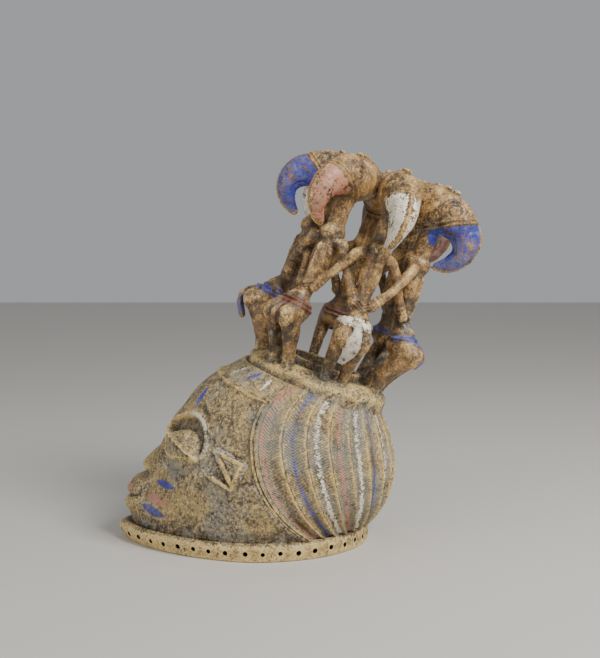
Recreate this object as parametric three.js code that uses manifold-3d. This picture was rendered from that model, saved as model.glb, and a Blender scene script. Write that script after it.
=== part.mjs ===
import * as THREE from 'three';
import { ParametricGeometry } from 'three/addons/geometries/ParametricGeometry.js';
import { mergeVertices } from 'three/addons/utils/BufferGeometryUtils.js';
import Module from 'manifold-3d';

// Gelede mask: a hollow wooden head that stands on its rim, with a ring of
// bird-headed figures carved on its crown. Millimetres, +Z up, face toward -Y.

// Head: the front and back profile on the middle line, the half width and the
// widest place, in equal steps from the top of the rim band to the crown
const FRONT_Y = [-199, -197, -187, -173, -155, -135, -104, -62];
const FRONT_Z = [20, 44, 68, 98, 130, 162, 193, 216];
const BACK_Y = [86, 98, 109, 116, 117, 113, 106, 98];
const BACK_Z = [18, 31, 48, 72, 97, 120, 140, 156];
const HALF_WIDTH = [107, 113, 117, 119, 117, 112, 104, 90];
const WIDEST_Y = [-47, -44, -38, -32, -24, -14, 0, 18];
const SHARP_FRONT = 0.17;
const POINT_POWER = 2.3;

// Rim band that the mask stands on, flaring forward at the front
const RIM_HEIGHTS = [0, 14, 21];
const RIM_FRONT_Y = [-206, -214, -210];
const RIM_BACK_Y = 85;
const RIM_HALF_WIDTH = [112, 114, 112];
const RIM_WIDEST_Y = -47;
const HOLE_COUNT = 39;
const HOLE_RADIUS = 2.6;
const HOLE_HEIGHT = 10;
const HOLE_LENGTH = 48;
const HOLE_SIDES = 5;
const RIM_WALK_STEPS = 1440;

// Small step, in radians or levels, for reading which way a surface runs
const NEARBY = 0.02;

// Colour of the bare wood
const WOOD = 0x8a6a42;

// Hollow: open below, closing in a dome that stays further in under the crown
const WALL = 11;
const HOLLOW_SIDES = 24;
const HOLLOW_ROWS = 6;
const HOLLOW_TOP_LEVEL = 0.86;
const HOLLOW_CLOSING = 0.97;
const HOLLOW_SQUARENESS = 5;
const HOLLOW_TOP_DROP = 9.6;
const HOLLOW_BELOW_RIM = 1;

// Hair: hollow flutes with crests between them, on each side from the hairline
// to the middle of the back, where the last flute is shared by both sides, and
// the hairline's angle round from the front at its foot, middle and top
const FLUTES = 8.5;
const FLUTE_COLUMNS = 2;
const FLUTE_DEPTH = 5;
const FLUTE_FADE = 0.1;
const HAIRLINE_FOOT = 121;
const HAIRLINE_MIDDLE = 84.5;
const HAIRLINE_TOP = 71;
const HAIRLINE_PROUD = 3;
const FACE_COLUMNS = 10;
const HEAD_ROWS = 10;
const BAND_ROW = 9;
const BAND_FRONT_LEVEL = 0.905;
const BAND_SIDE_LEVEL = 0.87;
const BAND_PROUD = 3;

// Crown: a sloping round shelf with a low block on it
const CROWN_Y = 24.7;
const CROWN_Z = 199.3;
const CROWN_TILT = THREE.MathUtils.degToRad(19.8);
const SHELF_RADII = [76, 85, 86, 81];
const SHELF_HEIGHTS = [-20, -10, -4, 1];
const SHELF_SIDES = 18;
const BLOCK_RADIUS = 43;
const BLOCK_HEIGHT = 6;
const BLOCK_SIDES = 12;

// Face: eyes, nose, lips and ears; places are the angle round from the front, in degrees, and the level
const EYE_PLACE = [37, 0.565];
const EYE_CORNER = [56, 0.515];
const EYE_STRETCH = 1.35;
const EYE_SIDES = 10;
const EYE_PROFILE = [[0, -12], [28, -12], [26, 1], [22, 6], [17, 3], [13, 10], [0, 13]];
const NOSE = [[-140, 122, 5, 5], [-162, 111, 9, 9], [-177, 96, 13, 11], [-184, 88, 12, 7]];
const UPPER_LIP = [[-160, 66, 30, 6], [-184, 65, 26, 7], [-197, 64, 15, 6]];
const LOWER_LIP = [[-160, 50, 30, 6], [-186, 50, 26, 7], [-202, 51, 15, 6]];
const EAR_LINE = [[61.5, 0.445], [74.5, 0.385], [77, 0.535], [61.5, 0.585], [73, 0.43]];
const BAR_WIDE = 7;
const BAR_THICK = 14;
const BAR_PROUD = 6;

// Figures on the crown: turn is the way each faces, in degrees round from the
// front; nod tips the bird head down, in degrees; lean sets its top outward;
// leaf gives a leaf-shaped loincloth end
const FIGURES = [
  { turn: 0, nod: 0, lean: 0, leaf: false },
  { turn: 49, nod: 3, lean: 0, leaf: false },
  { turn: 103, nod: 8, lean: 0, leaf: true },
  { turn: 163, nod: 11, lean: 14, leaf: false },
  { turn: 213, nod: 8, lean: 6, leaf: false },
  { turn: 268, nod: 4, lean: 2, leaf: false },
  { turn: 315, nod: 2, lean: 0, leaf: true },
];

// A figure in its own axes, in stations of out, across, up, half width, half
// depth; the knees are pushed out and the hands rest on the hips
const LEG = [
  [80, 7, 70, 11, 12], [93, 10, 58, 12, 15], [104, 11, 46, 10, 13],
  [92, 11, 30, 8, 12], [79, 10, 19, 7, 9], [70, 10, -8, 7, 9.5],
];
const ARM = [
  [62, 7, 156, 7, 8], [61, 29, 134, 6, 6.5], [76, 12, 88, 6, 6.5],
];
const TRUNK = [
  [81, 0, 66, 19, 17], [79, 0, 76, 18, 16], [74, 0, 83, 12, 12], [67, 0, 118, 14, 14],
  [65, 0, 148, 15, 15], [63, 0, 162, 12, 12], [60, 0, 212, 13, 13],
];
const HEAD = [
  [20, 0, 229, 9, 12], [34, 0, 229, 18, 20], [56, 0, 228, 21, 22], [77, 0, 227, 20, 20],
  [92, 0, 222, 18, 18], [105, 0, 209, 16, 16], [109, 0, 194, 12, 12], [101, 0, 179, 6, 8],
  [84, 0, 169, 2, 2],
];
const NECK_TOP = [60, 203];
const FIGURE_HEIGHT = 250;
const STRAP = [[84, 0, 82, 6, 4], [110, 0, 62, 6, 4], [113, 0, 50, 6, 4], [101, 0, 28, 5, 3]];
const LEAF = [[84, 0, 82, 9, 5], [110, 0, 62, 8, 4], [112, 0, 44, 11, 4], [100, 0, 20, 5, 3]];

const wasm = await Module();
wasm.setup();

// One closed solid from a three.js geometry
function solid(geometry) {
  const bare = geometry.clone();
  for (const name of Object.keys(bare.attributes)) {
    if (name !== 'position') bare.deleteAttribute(name);
  }
  const merged = mergeVertices(bare, 1e-4);
  const position = merged.attributes.position;
  const index = merged.index.array;
  const triangles = [];
  let volume = 0;
  const [a, b, c] = [new THREE.Vector3(), new THREE.Vector3(), new THREE.Vector3()];
  for (let i = 0; i < index.length; i += 3) {
    const [p, q, r] = [index[i], index[i + 1], index[i + 2]];
    if (p === q || q === r || r === p) continue;
    triangles.push(p, q, r);
    a.fromBufferAttribute(position, p);
    b.fromBufferAttribute(position, q);
    c.fromBufferAttribute(position, r);
    volume += a.dot(b.cross(c));
  }
  if (volume < 0) {
    for (let i = 0; i < triangles.length; i += 3) {
      [triangles[i], triangles[i + 1]] = [triangles[i + 1], triangles[i]];
    }
  }
  return new wasm.Manifold(new wasm.Mesh({
    numProp: 3,
    vertProperties: new Float32Array(position.array),
    triVerts: new Uint32Array(triangles),
  }));
}

// A closed skin over rings: ringPoint(step, row) is a point on a ring, for rows
// 0..rows; the ends close on the middle of the end rings
function skin(ringPoint, around, rows) {
  const middle = (row) => {
    const sum = new THREE.Vector3();
    for (let i = 0; i < around; i += 1) sum.add(ringPoint(i, row));
    return sum.divideScalar(around);
  };
  const ends = [middle(0), middle(rows)];
  return solid(new ParametricGeometry((u, v, target) => {
    const row = Math.round(v * (rows + 2)) - 1;
    if (row < 0) target.copy(ends[0]);
    else if (row > rows) target.copy(ends[1]);
    else target.copy(ringPoint(Math.round(u * around) % around, row));
  }, around, rows + 2));
}

// A value read smoothly from a list of equal steps
function along(list, share) {
  const place = THREE.MathUtils.clamp(share, 0, 1) * (list.length - 1);
  const i = Math.min(Math.floor(place), list.length - 2);
  const t = place - i;
  const before = list[Math.max(i - 1, 0)];
  const after = list[Math.min(i + 2, list.length - 1)];
  const rise = (list[i + 1] - before) / 2;
  const nextRise = (after - list[i]) / 2;
  const step = list[i + 1] - list[i];
  return list[i] + t * (rise + t * (3 * step - 2 * rise - nextRise + t * (rise + nextRise - 2 * step)));
}

// An egg-shaped plan: an ellipse behind the widest place, drawn to a point at
// the front as far as sharp says
function planPoint(angle, frontY, backY, widestY, reach, sharp) {
  const turn = Math.cos(angle);
  const power = turn > 0 ? 2 - POINT_POWER * sharp : 2;
  const root = turn > 0 ? 0.5 + sharp : 0.5;
  return new THREE.Vector2(
    reach * Math.sign(Math.sin(angle)) * Math.max(0, 1 - Math.abs(turn) ** power) ** root,
    widestY - turn * (turn > 0 ? widestY - frontY : backY - widestY),
  );
}

// The head's surface: angle round from the front, level 0 at the rim and 1 at
// the crown, set inward from the outer face
function headPoint(angle, level, inset = 0) {
  const frontY = along(FRONT_Y, level) + inset;
  const backY = along(BACK_Y, level) - inset;
  const { x, y } = planPoint(angle, frontY, backY, along(WIDEST_Y, level),
    along(HALF_WIDTH, level) - inset, SHARP_FRONT * (1 - level));
  const z = THREE.MathUtils.mapLinear(y, frontY, backY, along(FRONT_Z, level), along(BACK_Z, level));
  return new THREE.Vector3(x, y, z);
}

// The way the head's surface faces
function surfaceFacing(angle, level) {
  const round = headPoint(angle + NEARBY, level).sub(headPoint(angle - NEARBY, level));
  const up = headPoint(angle, level + NEARBY).sub(headPoint(angle, level - NEARBY));
  return round.cross(up).normalize();
}

// Angle of the line at a place among the flutes, 0 at the hairline, FLUTES at
// the back; the lines bow forward between the crown and the rim
function fluteAngle(place, level) {
  const share = place / FLUTES;
  const foot = THREE.MathUtils.lerp(HAIRLINE_FOOT, 180, share);
  const middle = THREE.MathUtils.lerp(HAIRLINE_MIDDLE, 180, share);
  const top = THREE.MathUtils.lerp(HAIRLINE_TOP, 180, share);
  return THREE.MathUtils.degToRad((1 - level) * (1 - 2 * level) * foot
    + 4 * level * (1 - level) * middle + level * (2 * level - 1) * top);
}

// Columns round the head: on each side the face first, then the flutes
const SIDE_COLUMNS = FACE_COLUMNS + FLUTES * FLUTE_COLUMNS;

function rimPoint(angle, row) {
  const { x, y } = planPoint(angle, RIM_FRONT_Y[row], RIM_BACK_Y, RIM_WIDEST_Y,
    RIM_HALF_WIDTH[row], SHARP_FRONT);
  return new THREE.Vector3(x, y, RIM_HEIGHTS[row]);
}

function headRing(step, row) {
  const right = step > SIDE_COLUMNS;
  const column = right ? 2 * SIDE_COLUMNS - step : step;
  const headRow = row - RIM_HEIGHTS.length;
  const place = (column - FACE_COLUMNS) / FLUTE_COLUMNS;
  const band = headRow === BAND_ROW && place <= 0;
  const level = band ? THREE.MathUtils.lerp(BAND_FRONT_LEVEL, BAND_SIDE_LEVEL, column / FACE_COLUMNS)
    : Math.max(0, headRow / HEAD_ROWS);
  const angle = place <= 0
    ? fluteAngle(0, level) * (column / FACE_COLUMNS) : fluteAngle(place, level);
  const side = right ? -1 : 1;
  if (row < RIM_HEIGHTS.length) return rimPoint(side * angle, row);
  let inset = 0;
  if (band) inset = -BAND_PROUD;
  else if (place === 0) inset = -HAIRLINE_PROUD * Math.sin(Math.PI * level);
  else if (place > 0 && !Number.isInteger(place)) {
    inset = FLUTE_DEPTH * Math.sin(Math.PI * THREE.MathUtils.lerp(FLUTE_FADE, 1 - FLUTE_FADE, level));
  }
  return headPoint(side * angle, level, inset);
}

// Hollow: follows the outside at the wall's thickness and closes in a dome
function hollowRing(step, row) {
  const share = row / HOLLOW_ROWS;
  const level = HOLLOW_TOP_LEVEL * Math.sin(share * Math.PI / 2);
  const point = headPoint(2 * Math.PI * step / HOLLOW_SIDES, level, WALL);
  const middle = headPoint(0, level).add(headPoint(Math.PI, level)).multiplyScalar(0.5);
  point.lerp(middle, 1 - Math.sqrt(1 - (HOLLOW_CLOSING * share) ** HOLLOW_SQUARENESS));
  point.z = row === 0 ? -HOLLOW_BELOW_RIM : point.z - HOLLOW_TOP_DROP * share;
  return point;
}

// A limb along its stations, square to its path
function limb(stations, sides) {
  const points = stations.map(([out, across, up]) => new THREE.Vector3(out, across, up));
  const frames = points.map((point, i) => {
    const run = points[Math.min(i + 1, points.length - 1)].clone()
      .sub(points[Math.max(i - 1, 0)]).normalize();
    const wide = new THREE.Vector3(0, 1, 0);
    wide.addScaledVector(run, -wide.dot(run)).normalize();
    return { wide, deep: run.clone().cross(wide) };
  });
  return skin((step, row) => {
    const angle = 2 * Math.PI * (step + 0.5) / sides;
    return points[row].clone()
      .addScaledVector(frames[row].wide, stations[row][3] * Math.cos(angle))
      .addScaledVector(frames[row].deep, stations[row][4] * Math.sin(angle));
  }, sides, stations.length - 1);
}

// The same limb on the other side of the figure
const mirrored = (stations) => stations.map(([out, across, ...rest]) => [out, -across, ...rest]);

// Bird head and beak, tipped down about the top of the neck
function nodded(stations, nod) {
  const angle = THREE.MathUtils.degToRad(nod);
  return stations.map(([out, across, up, ...rest]) => {
    const [du, dw] = [out - NECK_TOP[0], up - NECK_TOP[1]];
    return [NECK_TOP[0] + du * Math.cos(angle) + dw * Math.sin(angle), across,
      NECK_TOP[1] - du * Math.sin(angle) + dw * Math.cos(angle), ...rest];
  });
}

function figure({ nod, lean, leaf }) {
  const leant = (stations) => stations.map(([out, across, up, ...rest]) => [
    out + lean * (up / FIGURE_HEIGHT) ** 2, across, up, ...rest]);
  return [limb(leant(LEG), 6), limb(leant(mirrored(LEG)), 6), limb(leant(ARM), 4),
    limb(leant(mirrored(ARM)), 4), limb(leant(leaf ? LEAF : STRAP), 4),
    limb(leant(nodded(HEAD, nod)), 7),
  ].reduce((sum, part) => sum.add(part), limb(leant(TRUNK), 7));
}

// Placing on the crown's slope, turned round the ring
const crownPlace = new THREE.Matrix4().makeTranslation(0, CROWN_Y, CROWN_Z)
  .multiply(new THREE.Matrix4().makeRotationX(-CROWN_TILT));
const onCrown = (part, turn = 0) => part.transform(crownPlace.clone().multiply(
  new THREE.Matrix4().makeRotationZ(THREE.MathUtils.degToRad(turn - 90))).elements);

function roundBlock(radii, heights, sides) {
  return skin((step, row) => new THREE.Vector3(
    radii[row] * Math.cos(2 * Math.PI * step / sides),
    radii[row] * Math.sin(2 * Math.PI * step / sides),
    heights[row],
  ), sides, radii.length - 1);
}

// Eyes: a ball in a raised ring, standing off the face, longer toward the
// outer corner than they are high
function eye(side) {
  const [angle, cornerAngle] = [EYE_PLACE[0], EYE_CORNER[0]].map(
    (degrees) => side * THREE.MathUtils.degToRad(degrees));
  const middle = headPoint(angle, EYE_PLACE[1]);
  const out = surfaceFacing(angle, EYE_PLACE[1]);
  const run = headPoint(cornerAngle, EYE_CORNER[1]).sub(middle);
  run.addScaledVector(out, -run.dot(out)).normalize();
  const lathe = new THREE.LatheGeometry(
    EYE_PROFILE.map(([radius, height]) => new THREE.Vector2(radius, height)), EYE_SIDES);
  lathe.scale(EYE_STRETCH, 1, 1);
  lathe.applyMatrix4(new THREE.Matrix4().makeBasis(run, out, run.clone().cross(out)));
  lathe.translate(middle.x, middle.y, middle.z);
  return solid(lathe);
}

// A bar laid on the face from one place to the next
function faceBar(from, to, side) {
  const ends = [from, to].map(([degrees, level]) => {
    const angle = side * THREE.MathUtils.degToRad(degrees);
    return headPoint(angle, level)
      .addScaledVector(surfaceFacing(angle, level), BAR_PROUD - BAR_THICK / 2);
  });
  const run = ends[1].clone().sub(ends[0]);
  const length = run.length() + BAR_WIDE;
  run.normalize();
  const out = surfaceFacing(side * THREE.MathUtils.degToRad((from[0] + to[0]) / 2),
    (from[1] + to[1]) / 2);
  out.addScaledVector(run, -out.dot(run)).normalize();
  const box = new THREE.BoxGeometry(length, BAR_WIDE, BAR_THICK);
  box.applyMatrix4(new THREE.Matrix4().makeBasis(run, out.clone().cross(run), out));
  const { x, y, z } = ends[0].add(ends[1]).multiplyScalar(0.5);
  box.translate(x, y, z);
  return solid(box);
}

// A form on the middle line: stations of y, z, half width, half height
function middleForm(stations, sides) {
  return skin((step, row) => {
    const [y, z, wide, high] = stations[row];
    const angle = 2 * Math.PI * (step + 0.5) / sides;
    return new THREE.Vector3(wide * Math.cos(angle), y, z + high * Math.sin(angle));
  }, sides, stations.length - 1);
}

// Holes through the rim band for the costume's cord, evenly spaced round it
const walk = Array.from({ length: RIM_WALK_STEPS + 1 }, (_, i) => {
  const angle = 2 * Math.PI * i / RIM_WALK_STEPS;
  return { angle, at: rimPoint(angle, 0), gone: 0 };
});
walk.slice(1).forEach((step, i) => { step.gone = walk[i].gone + step.at.distanceTo(walk[i].at); });
const holes = Array.from({ length: HOLE_COUNT }, (_, i) => {
  const gone = (i + 0.5) / HOLE_COUNT * walk[RIM_WALK_STEPS].gone;
  const { angle, at } = walk.find((step) => step.gone >= gone);
  const run = rimPoint(angle + NEARBY, 0).sub(rimPoint(angle - NEARBY, 0)).normalize();
  const hole = new THREE.CylinderGeometry(HOLE_RADIUS, HOLE_RADIUS, HOLE_LENGTH, HOLE_SIDES);
  hole.applyMatrix4(new THREE.Matrix4().makeBasis(
    run, new THREE.Vector3(run.y, -run.x, 0), new THREE.Vector3(0, 0, -1)));
  hole.translate(at.x, at.y, HOLE_HEIGHT);
  return solid(hole);
});

const ears = [1, -1].flatMap((side) => EAR_LINE.slice(1).map(
  (place, i) => faceBar(EAR_LINE[i], place, side)));
let body = skin(headRing, 2 * SIDE_COLUMNS, RIM_HEIGHTS.length + HEAD_ROWS);
for (const part of [onCrown(roundBlock(SHELF_RADII, SHELF_HEIGHTS, SHELF_SIDES)),
  middleForm(NOSE, 6), middleForm(UPPER_LIP, 7), middleForm(LOWER_LIP, 7),
  eye(1), eye(-1), ...ears]) body = body.add(part);
body = body.subtract(skin(hollowRing, HOLLOW_SIDES, HOLLOW_ROWS));
for (const hole of holes) body = body.subtract(hole);
body = body.add(onCrown(roundBlock([BLOCK_RADIUS, BLOCK_RADIUS], [-4, BLOCK_HEIGHT], BLOCK_SIDES)));
for (const spec of FIGURES) body = body.add(onCrown(figure(spec), spec.turn));

// The finished solid as one named mesh, its outer box centred over the origin
const { vertProperties, triVerts } = body.getMesh();
const geometry = new THREE.BufferGeometry();
geometry.setAttribute('position', new THREE.BufferAttribute(new Float32Array(vertProperties), 3));
geometry.setIndex(new THREE.BufferAttribute(new Uint32Array(triVerts), 1));
geometry.computeBoundingBox();
const centre = geometry.boundingBox.getCenter(new THREE.Vector3());
geometry.translate(-centre.x, -centre.y, 0);
geometry.computeVertexNormals();
const mask = new THREE.Mesh(geometry, new THREE.MeshStandardMaterial({ color: WOOD, roughness: 0.8 }));
mask.name = 'gelede_mask';
const group = new THREE.Group();
group.add(mask);
export default group;
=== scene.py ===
import math

import bpy
import numpy as np
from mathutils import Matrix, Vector
from mathutils.kdtree import KDTree


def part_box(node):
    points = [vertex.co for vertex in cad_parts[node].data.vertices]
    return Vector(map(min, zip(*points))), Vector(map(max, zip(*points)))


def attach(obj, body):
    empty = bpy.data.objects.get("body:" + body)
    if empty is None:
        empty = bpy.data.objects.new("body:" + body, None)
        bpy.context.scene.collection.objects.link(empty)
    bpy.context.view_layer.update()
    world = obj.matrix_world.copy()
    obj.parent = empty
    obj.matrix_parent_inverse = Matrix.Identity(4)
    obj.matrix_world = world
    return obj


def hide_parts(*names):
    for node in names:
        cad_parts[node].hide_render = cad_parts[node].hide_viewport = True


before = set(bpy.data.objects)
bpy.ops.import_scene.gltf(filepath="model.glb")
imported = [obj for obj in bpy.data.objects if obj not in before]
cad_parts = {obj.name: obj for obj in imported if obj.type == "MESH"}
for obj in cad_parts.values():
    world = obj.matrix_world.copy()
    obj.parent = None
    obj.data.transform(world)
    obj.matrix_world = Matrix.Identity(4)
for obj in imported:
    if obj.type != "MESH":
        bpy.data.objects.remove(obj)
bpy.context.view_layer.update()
CAD_LOW, CAD_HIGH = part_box("gelede_mask")

bl_info = {
    "name": "Gelede mask",
    "version": (1, 0, 0),
    "blender": (4, 5, 0),
    "location": "3D View > Sidebar > Gelede mask",
    "description": "Carves and paints a hollow gelede mask with its ring of bird-headed figures",
    "category": "Object",
}

MM = 0.001
PIECE = "gelede_mask_carving"
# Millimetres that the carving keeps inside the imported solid's box
BOX_MARGIN = 0.06

# Head, in millimetres, in equal steps from the rim to the crown: the front and
# back of the profile, the half width and where the head is widest. It stays in
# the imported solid's box, whose front edge is the rim's lip
FRONT_Y = [-199, -197, -187, -173, -155, -135, -104, -62]
FRONT_Z = [20, 44, 68, 98, 130, 162, 193, 216]
BACK_Y = [86, 98, 109, 116, 117, 113, 106, 98]
BACK_Z = [18, 31, 48, 72, 97, 120, 140, 156]
HALF_WIDTH = [107, 113, 117, 119, 117, 112, 104, 90]
WIDEST_Y = [-47, -44, -38, -32, -24, -14, 0, 18]
SHARP_FRONT = 0.17
POINT_POWER = 2.3
RIM_LIP_Y = -214
SHIFT_Y = CAD_LOW.y / MM - RIM_LIP_Y

# Rim band, from its underside to the groove under the head: height, front edge,
# half width and how far in from the band's face the row is
RIM_ROWS = [
    (0, -205, 111.5, 1.6), (1.4, -206.2, 112, 0.2), (4, -208.2, 112.4, 0), (7.5, -210.6, 113, 0),
    (11, -212.8, 113.6, 0), (14, -213.8, 113.9, 0.1), (17, -212.8, 113.4, 0.3),
    (19.4, -211.4, 112.7, 1.1), (20.8, -210.4, 112.3, 2.8), (21, -209.6, 112, 4.4),
]
RIM_ROWS_Z = np.array([row[0] for row in RIM_ROWS])
# Rows above this are in the groove under the head, which the material draws darker
RIM_GROOVE_Z = 18
RIM_BACK_Y = 85
RIM_WIDEST_Y = -47

# Hairline and flutes: angles round from the front, in degrees, at the foot,
# the middle and the top
HAIRLINE = (121, 84.5, 71)
BACK_MIDDLE = 180
FLUTE_STEPS = (0, 0.045, 0.09, 0.135, 0.25, 0.38, 0.5, 0.62, 0.75, 0.88)
FLUTE_DEPTHS = [4.6, 6.4, 6.2, 5.8, 5.2, 4.4, 3.4, 2.4, 1.4]
FILLET_STEPS = (7.6, 6.2, 5.0, 3.8, 2.6, 1.7, 0.9)
# How far the slanting strokes rise to the middle of a flute, as a share of the
# level, and where across the flute they start and end
STROKE_RISE = 0.045
STROKE_ACROSS = (0.2, 0.97)
# The line cut behind each crest: where across the flute it runs, and its depth
CREST_LINE = 0.09
CREST_LINE_DEPTH = 1.2
HEAD_ROWS = 124
FACE_COLUMNS = 106
BAND_LEVELS = (0.905, 0.868)

# Lines of paint down the flutes, counted from the hairline to the back: where
# across its flute each runs, and half its width in millimetres
FLUTE_PAINT = [("pink", 0.24, 4.2), ("blue", 0.5, 2.6), ("white", 0.5, 3.4), ("pink", 0.5, 3.2),
               ("white", 0.5, 3.4), ("blue", 0.5, 2.4), ("white", 0.5, 2.6),
               ("pink", 0.5, 2.6), ("white", 0.5, 2.6)]
FLUTE_PAINT_LEFT = 0.5

# Fillets along the hairline and the forehead band: how far from the line in
# millimetres, half width and height
HAIRLINE_FILLETS = ((1.1, 1.4, 2.2), (4.9, 2.7, 3.0))
BAND_FILLETS = ((-1.5, 2.8, 3.0), (2.9, 1.6, 1.8))
# Above this many millimetres over the band is the panel, with fine lines of this
# height down it
PANEL_START = 5
PANEL_LINES = 0.35
# Millimetres short of the hairline where the face's even columns stop, and where
# its carving does
COLUMNS_STOP = 9.2
FACE_STOP = 8.5

# Eye: lines on the flat that touches the head at its middle, in millimetres
# toward the back and up
EYE_PLACE = (37, 0.565)
EYE_RING = [(-38.6, 9), (-34, 18.5), (-24, 26), (-9.5, 32), (7, 34), (20, 30.5), (29, 22.5),
            (35, 12.5), (37.5, 3), (35.5, -7), (26, -15.5), (11, -22), (-4.5, -24), (-18, -20),
            (-29.5, -12)]
LID_TOP = [(-34, 3), (-24, 9), (-10, 14.5), (5, 17.5), (17, 16), (26, 9.5), (31, 0), (31, -13)]
LID_EDGE = [(-34, 3), (-17.5, 0), (-4.7, -2.4), (6, -5), (19, -9.8), (31, -13)]
LID_FOOT = [(-34, 3), (-28, -11), (-20, -18.5), (-8, -20.5), (6, -18.5), (18, -15.5), (31, -13)]

# Nose and mouth: how far they stand out along the middle line at heights up the
# face, and how far to each side they reach
FACE_HEIGHTS = [27, 31.7, 33.9, 37.1, 41.4, 46.8, 49.3, 52.6, 56.8, 60.6, 65.7, 70.3, 74, 77.3,
                79.8, 81.6, 82.8, 84.9, 87.4, 91.8, 97.6, 106, 114, 126, 146, 166, 182]
FACE_STANDS = [0, 2.3, 4.8, 7.5, 8.2, 7.2, 6.6, 9.3, 10.4, 9.8, 9.5, 7.7, 4.3, -0.7,
               -3.5, -4.6, -1.2, 4.3, 6.9, 5.6, 3.0, 0, -3.2, -3.8, -4.6, -1.6, 0]
REACH_HEIGHTS = [27, 50, 60, 70, 77, 80, 83, 88, 94, 100, 108, 122, 146, 170]
REACHES = [40, 38, 36, 32, 28, 27, 31, 35, 34, 30, 24, 15, 16, 22]
CREASE = [(29, 52), (30, 61), (32, 69), (35, 78), (37.5, 88), (36, 96), (38, 101), (44, 107)]
MOUTH_HEIGHT = 49.6

# Places on the face, as the angle round from the front and the level
EAR_LINE = [(60.5, 0.453), (74.35, 0.40), (75.6, 0.531), (60.8, 0.57), (73.7, 0.427)]
EAR_PLACE = (68, 0.485)
LENS_MARKS = [
    ("blue", (29.9, 0.342), (45.9, 0.336), 4.6),
    ("pink", (25.3, 0.240), (46.1, 0.228), 5.8),
    ("blue", (25.5, 0.160), (46.5, 0.131), 5.6),
    ("blue", (22.0, 0.836), (28.8, 0.730), 5.0),
    ("pink", (0.5, 0.80), (0.2, 0.715), 2.6),
]
MARK_PAINT_LEFT = 1.1
MARK_DEPTH = 1.1
PANEL_STRIPES = [
    ("white", (24.9, 0.918), (31, 1.08), 2.2), ("blue", (41.9, 0.922), (47, 1.08), 3.2),
    ("white", (60, 0.908), (57.6, 1.08), 2.8), ("blue", (8, 0.925), (9, 1.08), 2.4),
]

# Rim holes and the hollow, in millimetres; levels and shares are from 0 to 1
HOLE_HEIGHT = 10
HOLE_SIDES = 12
# How unevenly the holes are spaced, how much they rise and fall, their least and
# most size as shares of the set one, and half the length of a peg
HOLE_SPREAD = 1.4
HOLE_RISE = 0.7
HOLE_SHARES = (0.9, 1.12)
PEG_HALF = 24
HOLLOW_SIDES = 96
HOLLOW_ROWS = 16
HOLLOW_TOP_LEVEL = 0.86
HOLLOW_CLOSING = 0.97
HOLLOW_SQUARENESS = 5
HOLLOW_TOP_DROP = 9.6

# Marks of the adze and knife: their size in millimetres and the fixed seed of
# the noise that lays them, so that every run carves the same
HEAD_DENTS = (26, 3)
HEAD_CUTS = (11, 4)
HEAD_NICKS = (4, 5)
FIGURE_CUTS = (12, 21)
FIGURE_NICKS = (6.5, 22)
HOLLOW_GOUGES = (16, 11)
HOLE_SEED = 7

# Crown and figures, in millimetres. A figure's stations are out, across, up,
# half width, half depth, in its own axes on the sloping crown
CROWN_Y = 24.7
CROWN_Z = 199.3
CROWN_TILT = math.radians(19.8)
SHELF_HALF = (89.5, 85.5)
SHELF_SHIFT = 1.7
SHELF_PROFILE = [(0, 3), (56, 3.2), (63, 5.8), (70, 5.6), (76, 2.4), (81, -1.2), (85, -4.4),
                 (94, -26)]
SHELF_FOOT = -24
WALL_RADIUS = 44
WALL_HALF = 3.2
WALL_TOP = 12.5
THIGH = [(77, 8.5, 66, 10, 13), (90, 9.8, 59.5, 11, 15.5), (103, 10.6, 55, 9.8, 12.2)]
SHIN = [(90, 11.5, 48, 8.6, 13.5), (82, 11.5, 33, 7.4, 11), (75, 11, 16, 6.3, 8.8),
        (69, 10.5, -6, 5.8, 8)]
TRUNK = [(79, 0, 62, 15, 13.5), (80.5, 0, 71, 15.5, 15), (77.5, 0, 79.5, 11.5, 12),
         (73, 0, 89, 8.6, 9.6), (70, 0, 100, 8.2, 9.6), (66.5, 0, 115, 10.6, 11.2),
         (64.5, 0, 131, 12.4, 12.4), (63, 0, 146, 11.2, 11.6), (62, 0, 158, 10, 10.6),
         (60, 0, 212, 10.4, 10.8)]
SKULL = [(22, 0, 229, 9, 13), (34, 0, 226.5, 17, 21), (54, 0, 225, 21, 25.5),
         (74, 0, 224.5, 20.5, 23.5), (88, 0, 220, 18, 19.5)]
BEAK = [(88, 0, 221, 17, 18), (98, 0, 214, 16, 17.5), (105, 0, 205, 14.5, 15),
        (107.5, 0, 193.5, 11.5, 12.2), (104, 0, 182, 8, 10), (96.5, 0, 173, 5, 7),
        (89, 0, 168.5, 2.8, 3.8)]
CHEST_RIDGE = [(77, 0, 98, 2, 2), (78, 0, 118, 2.4, 2.4), (76.5, 0, 142, 2, 2)]
SHOULDER_CAP = [(61, 4, 156, 6, 7), (62, 13, 151.5, 6.4, 7)]
COLLAR = [(58, 0, 159.5, 12, 13), (66, 0, 159, 12, 11)]
CREST_KNOBS = ((24, 243), (35, 248), (46, 251), (58, 251.4))

# The bill's upper edge runs round a middle, as an arc, with the line where it
# closes as a smaller one
HOOK_MIDDLE = (86, 193)
HOOK_RADIUS = 27
CLOSING_RADIUS = 15.5

# A bird's eye: its middle, how far back its cut rings are centred from that, and
# each ring's radius, depth and whether it is a brow, which runs over the eye only
EYE_MIDDLE = (76, 232)
EYE_SET_BACK = 2
EYE_CUTS = ((6.8, 1.2, False), (11.8, 1.3, True), (16.2, 1.3, True))
EYE_CUT_HALF = 1.1
EYE_DIMPLE = 3.2

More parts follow.
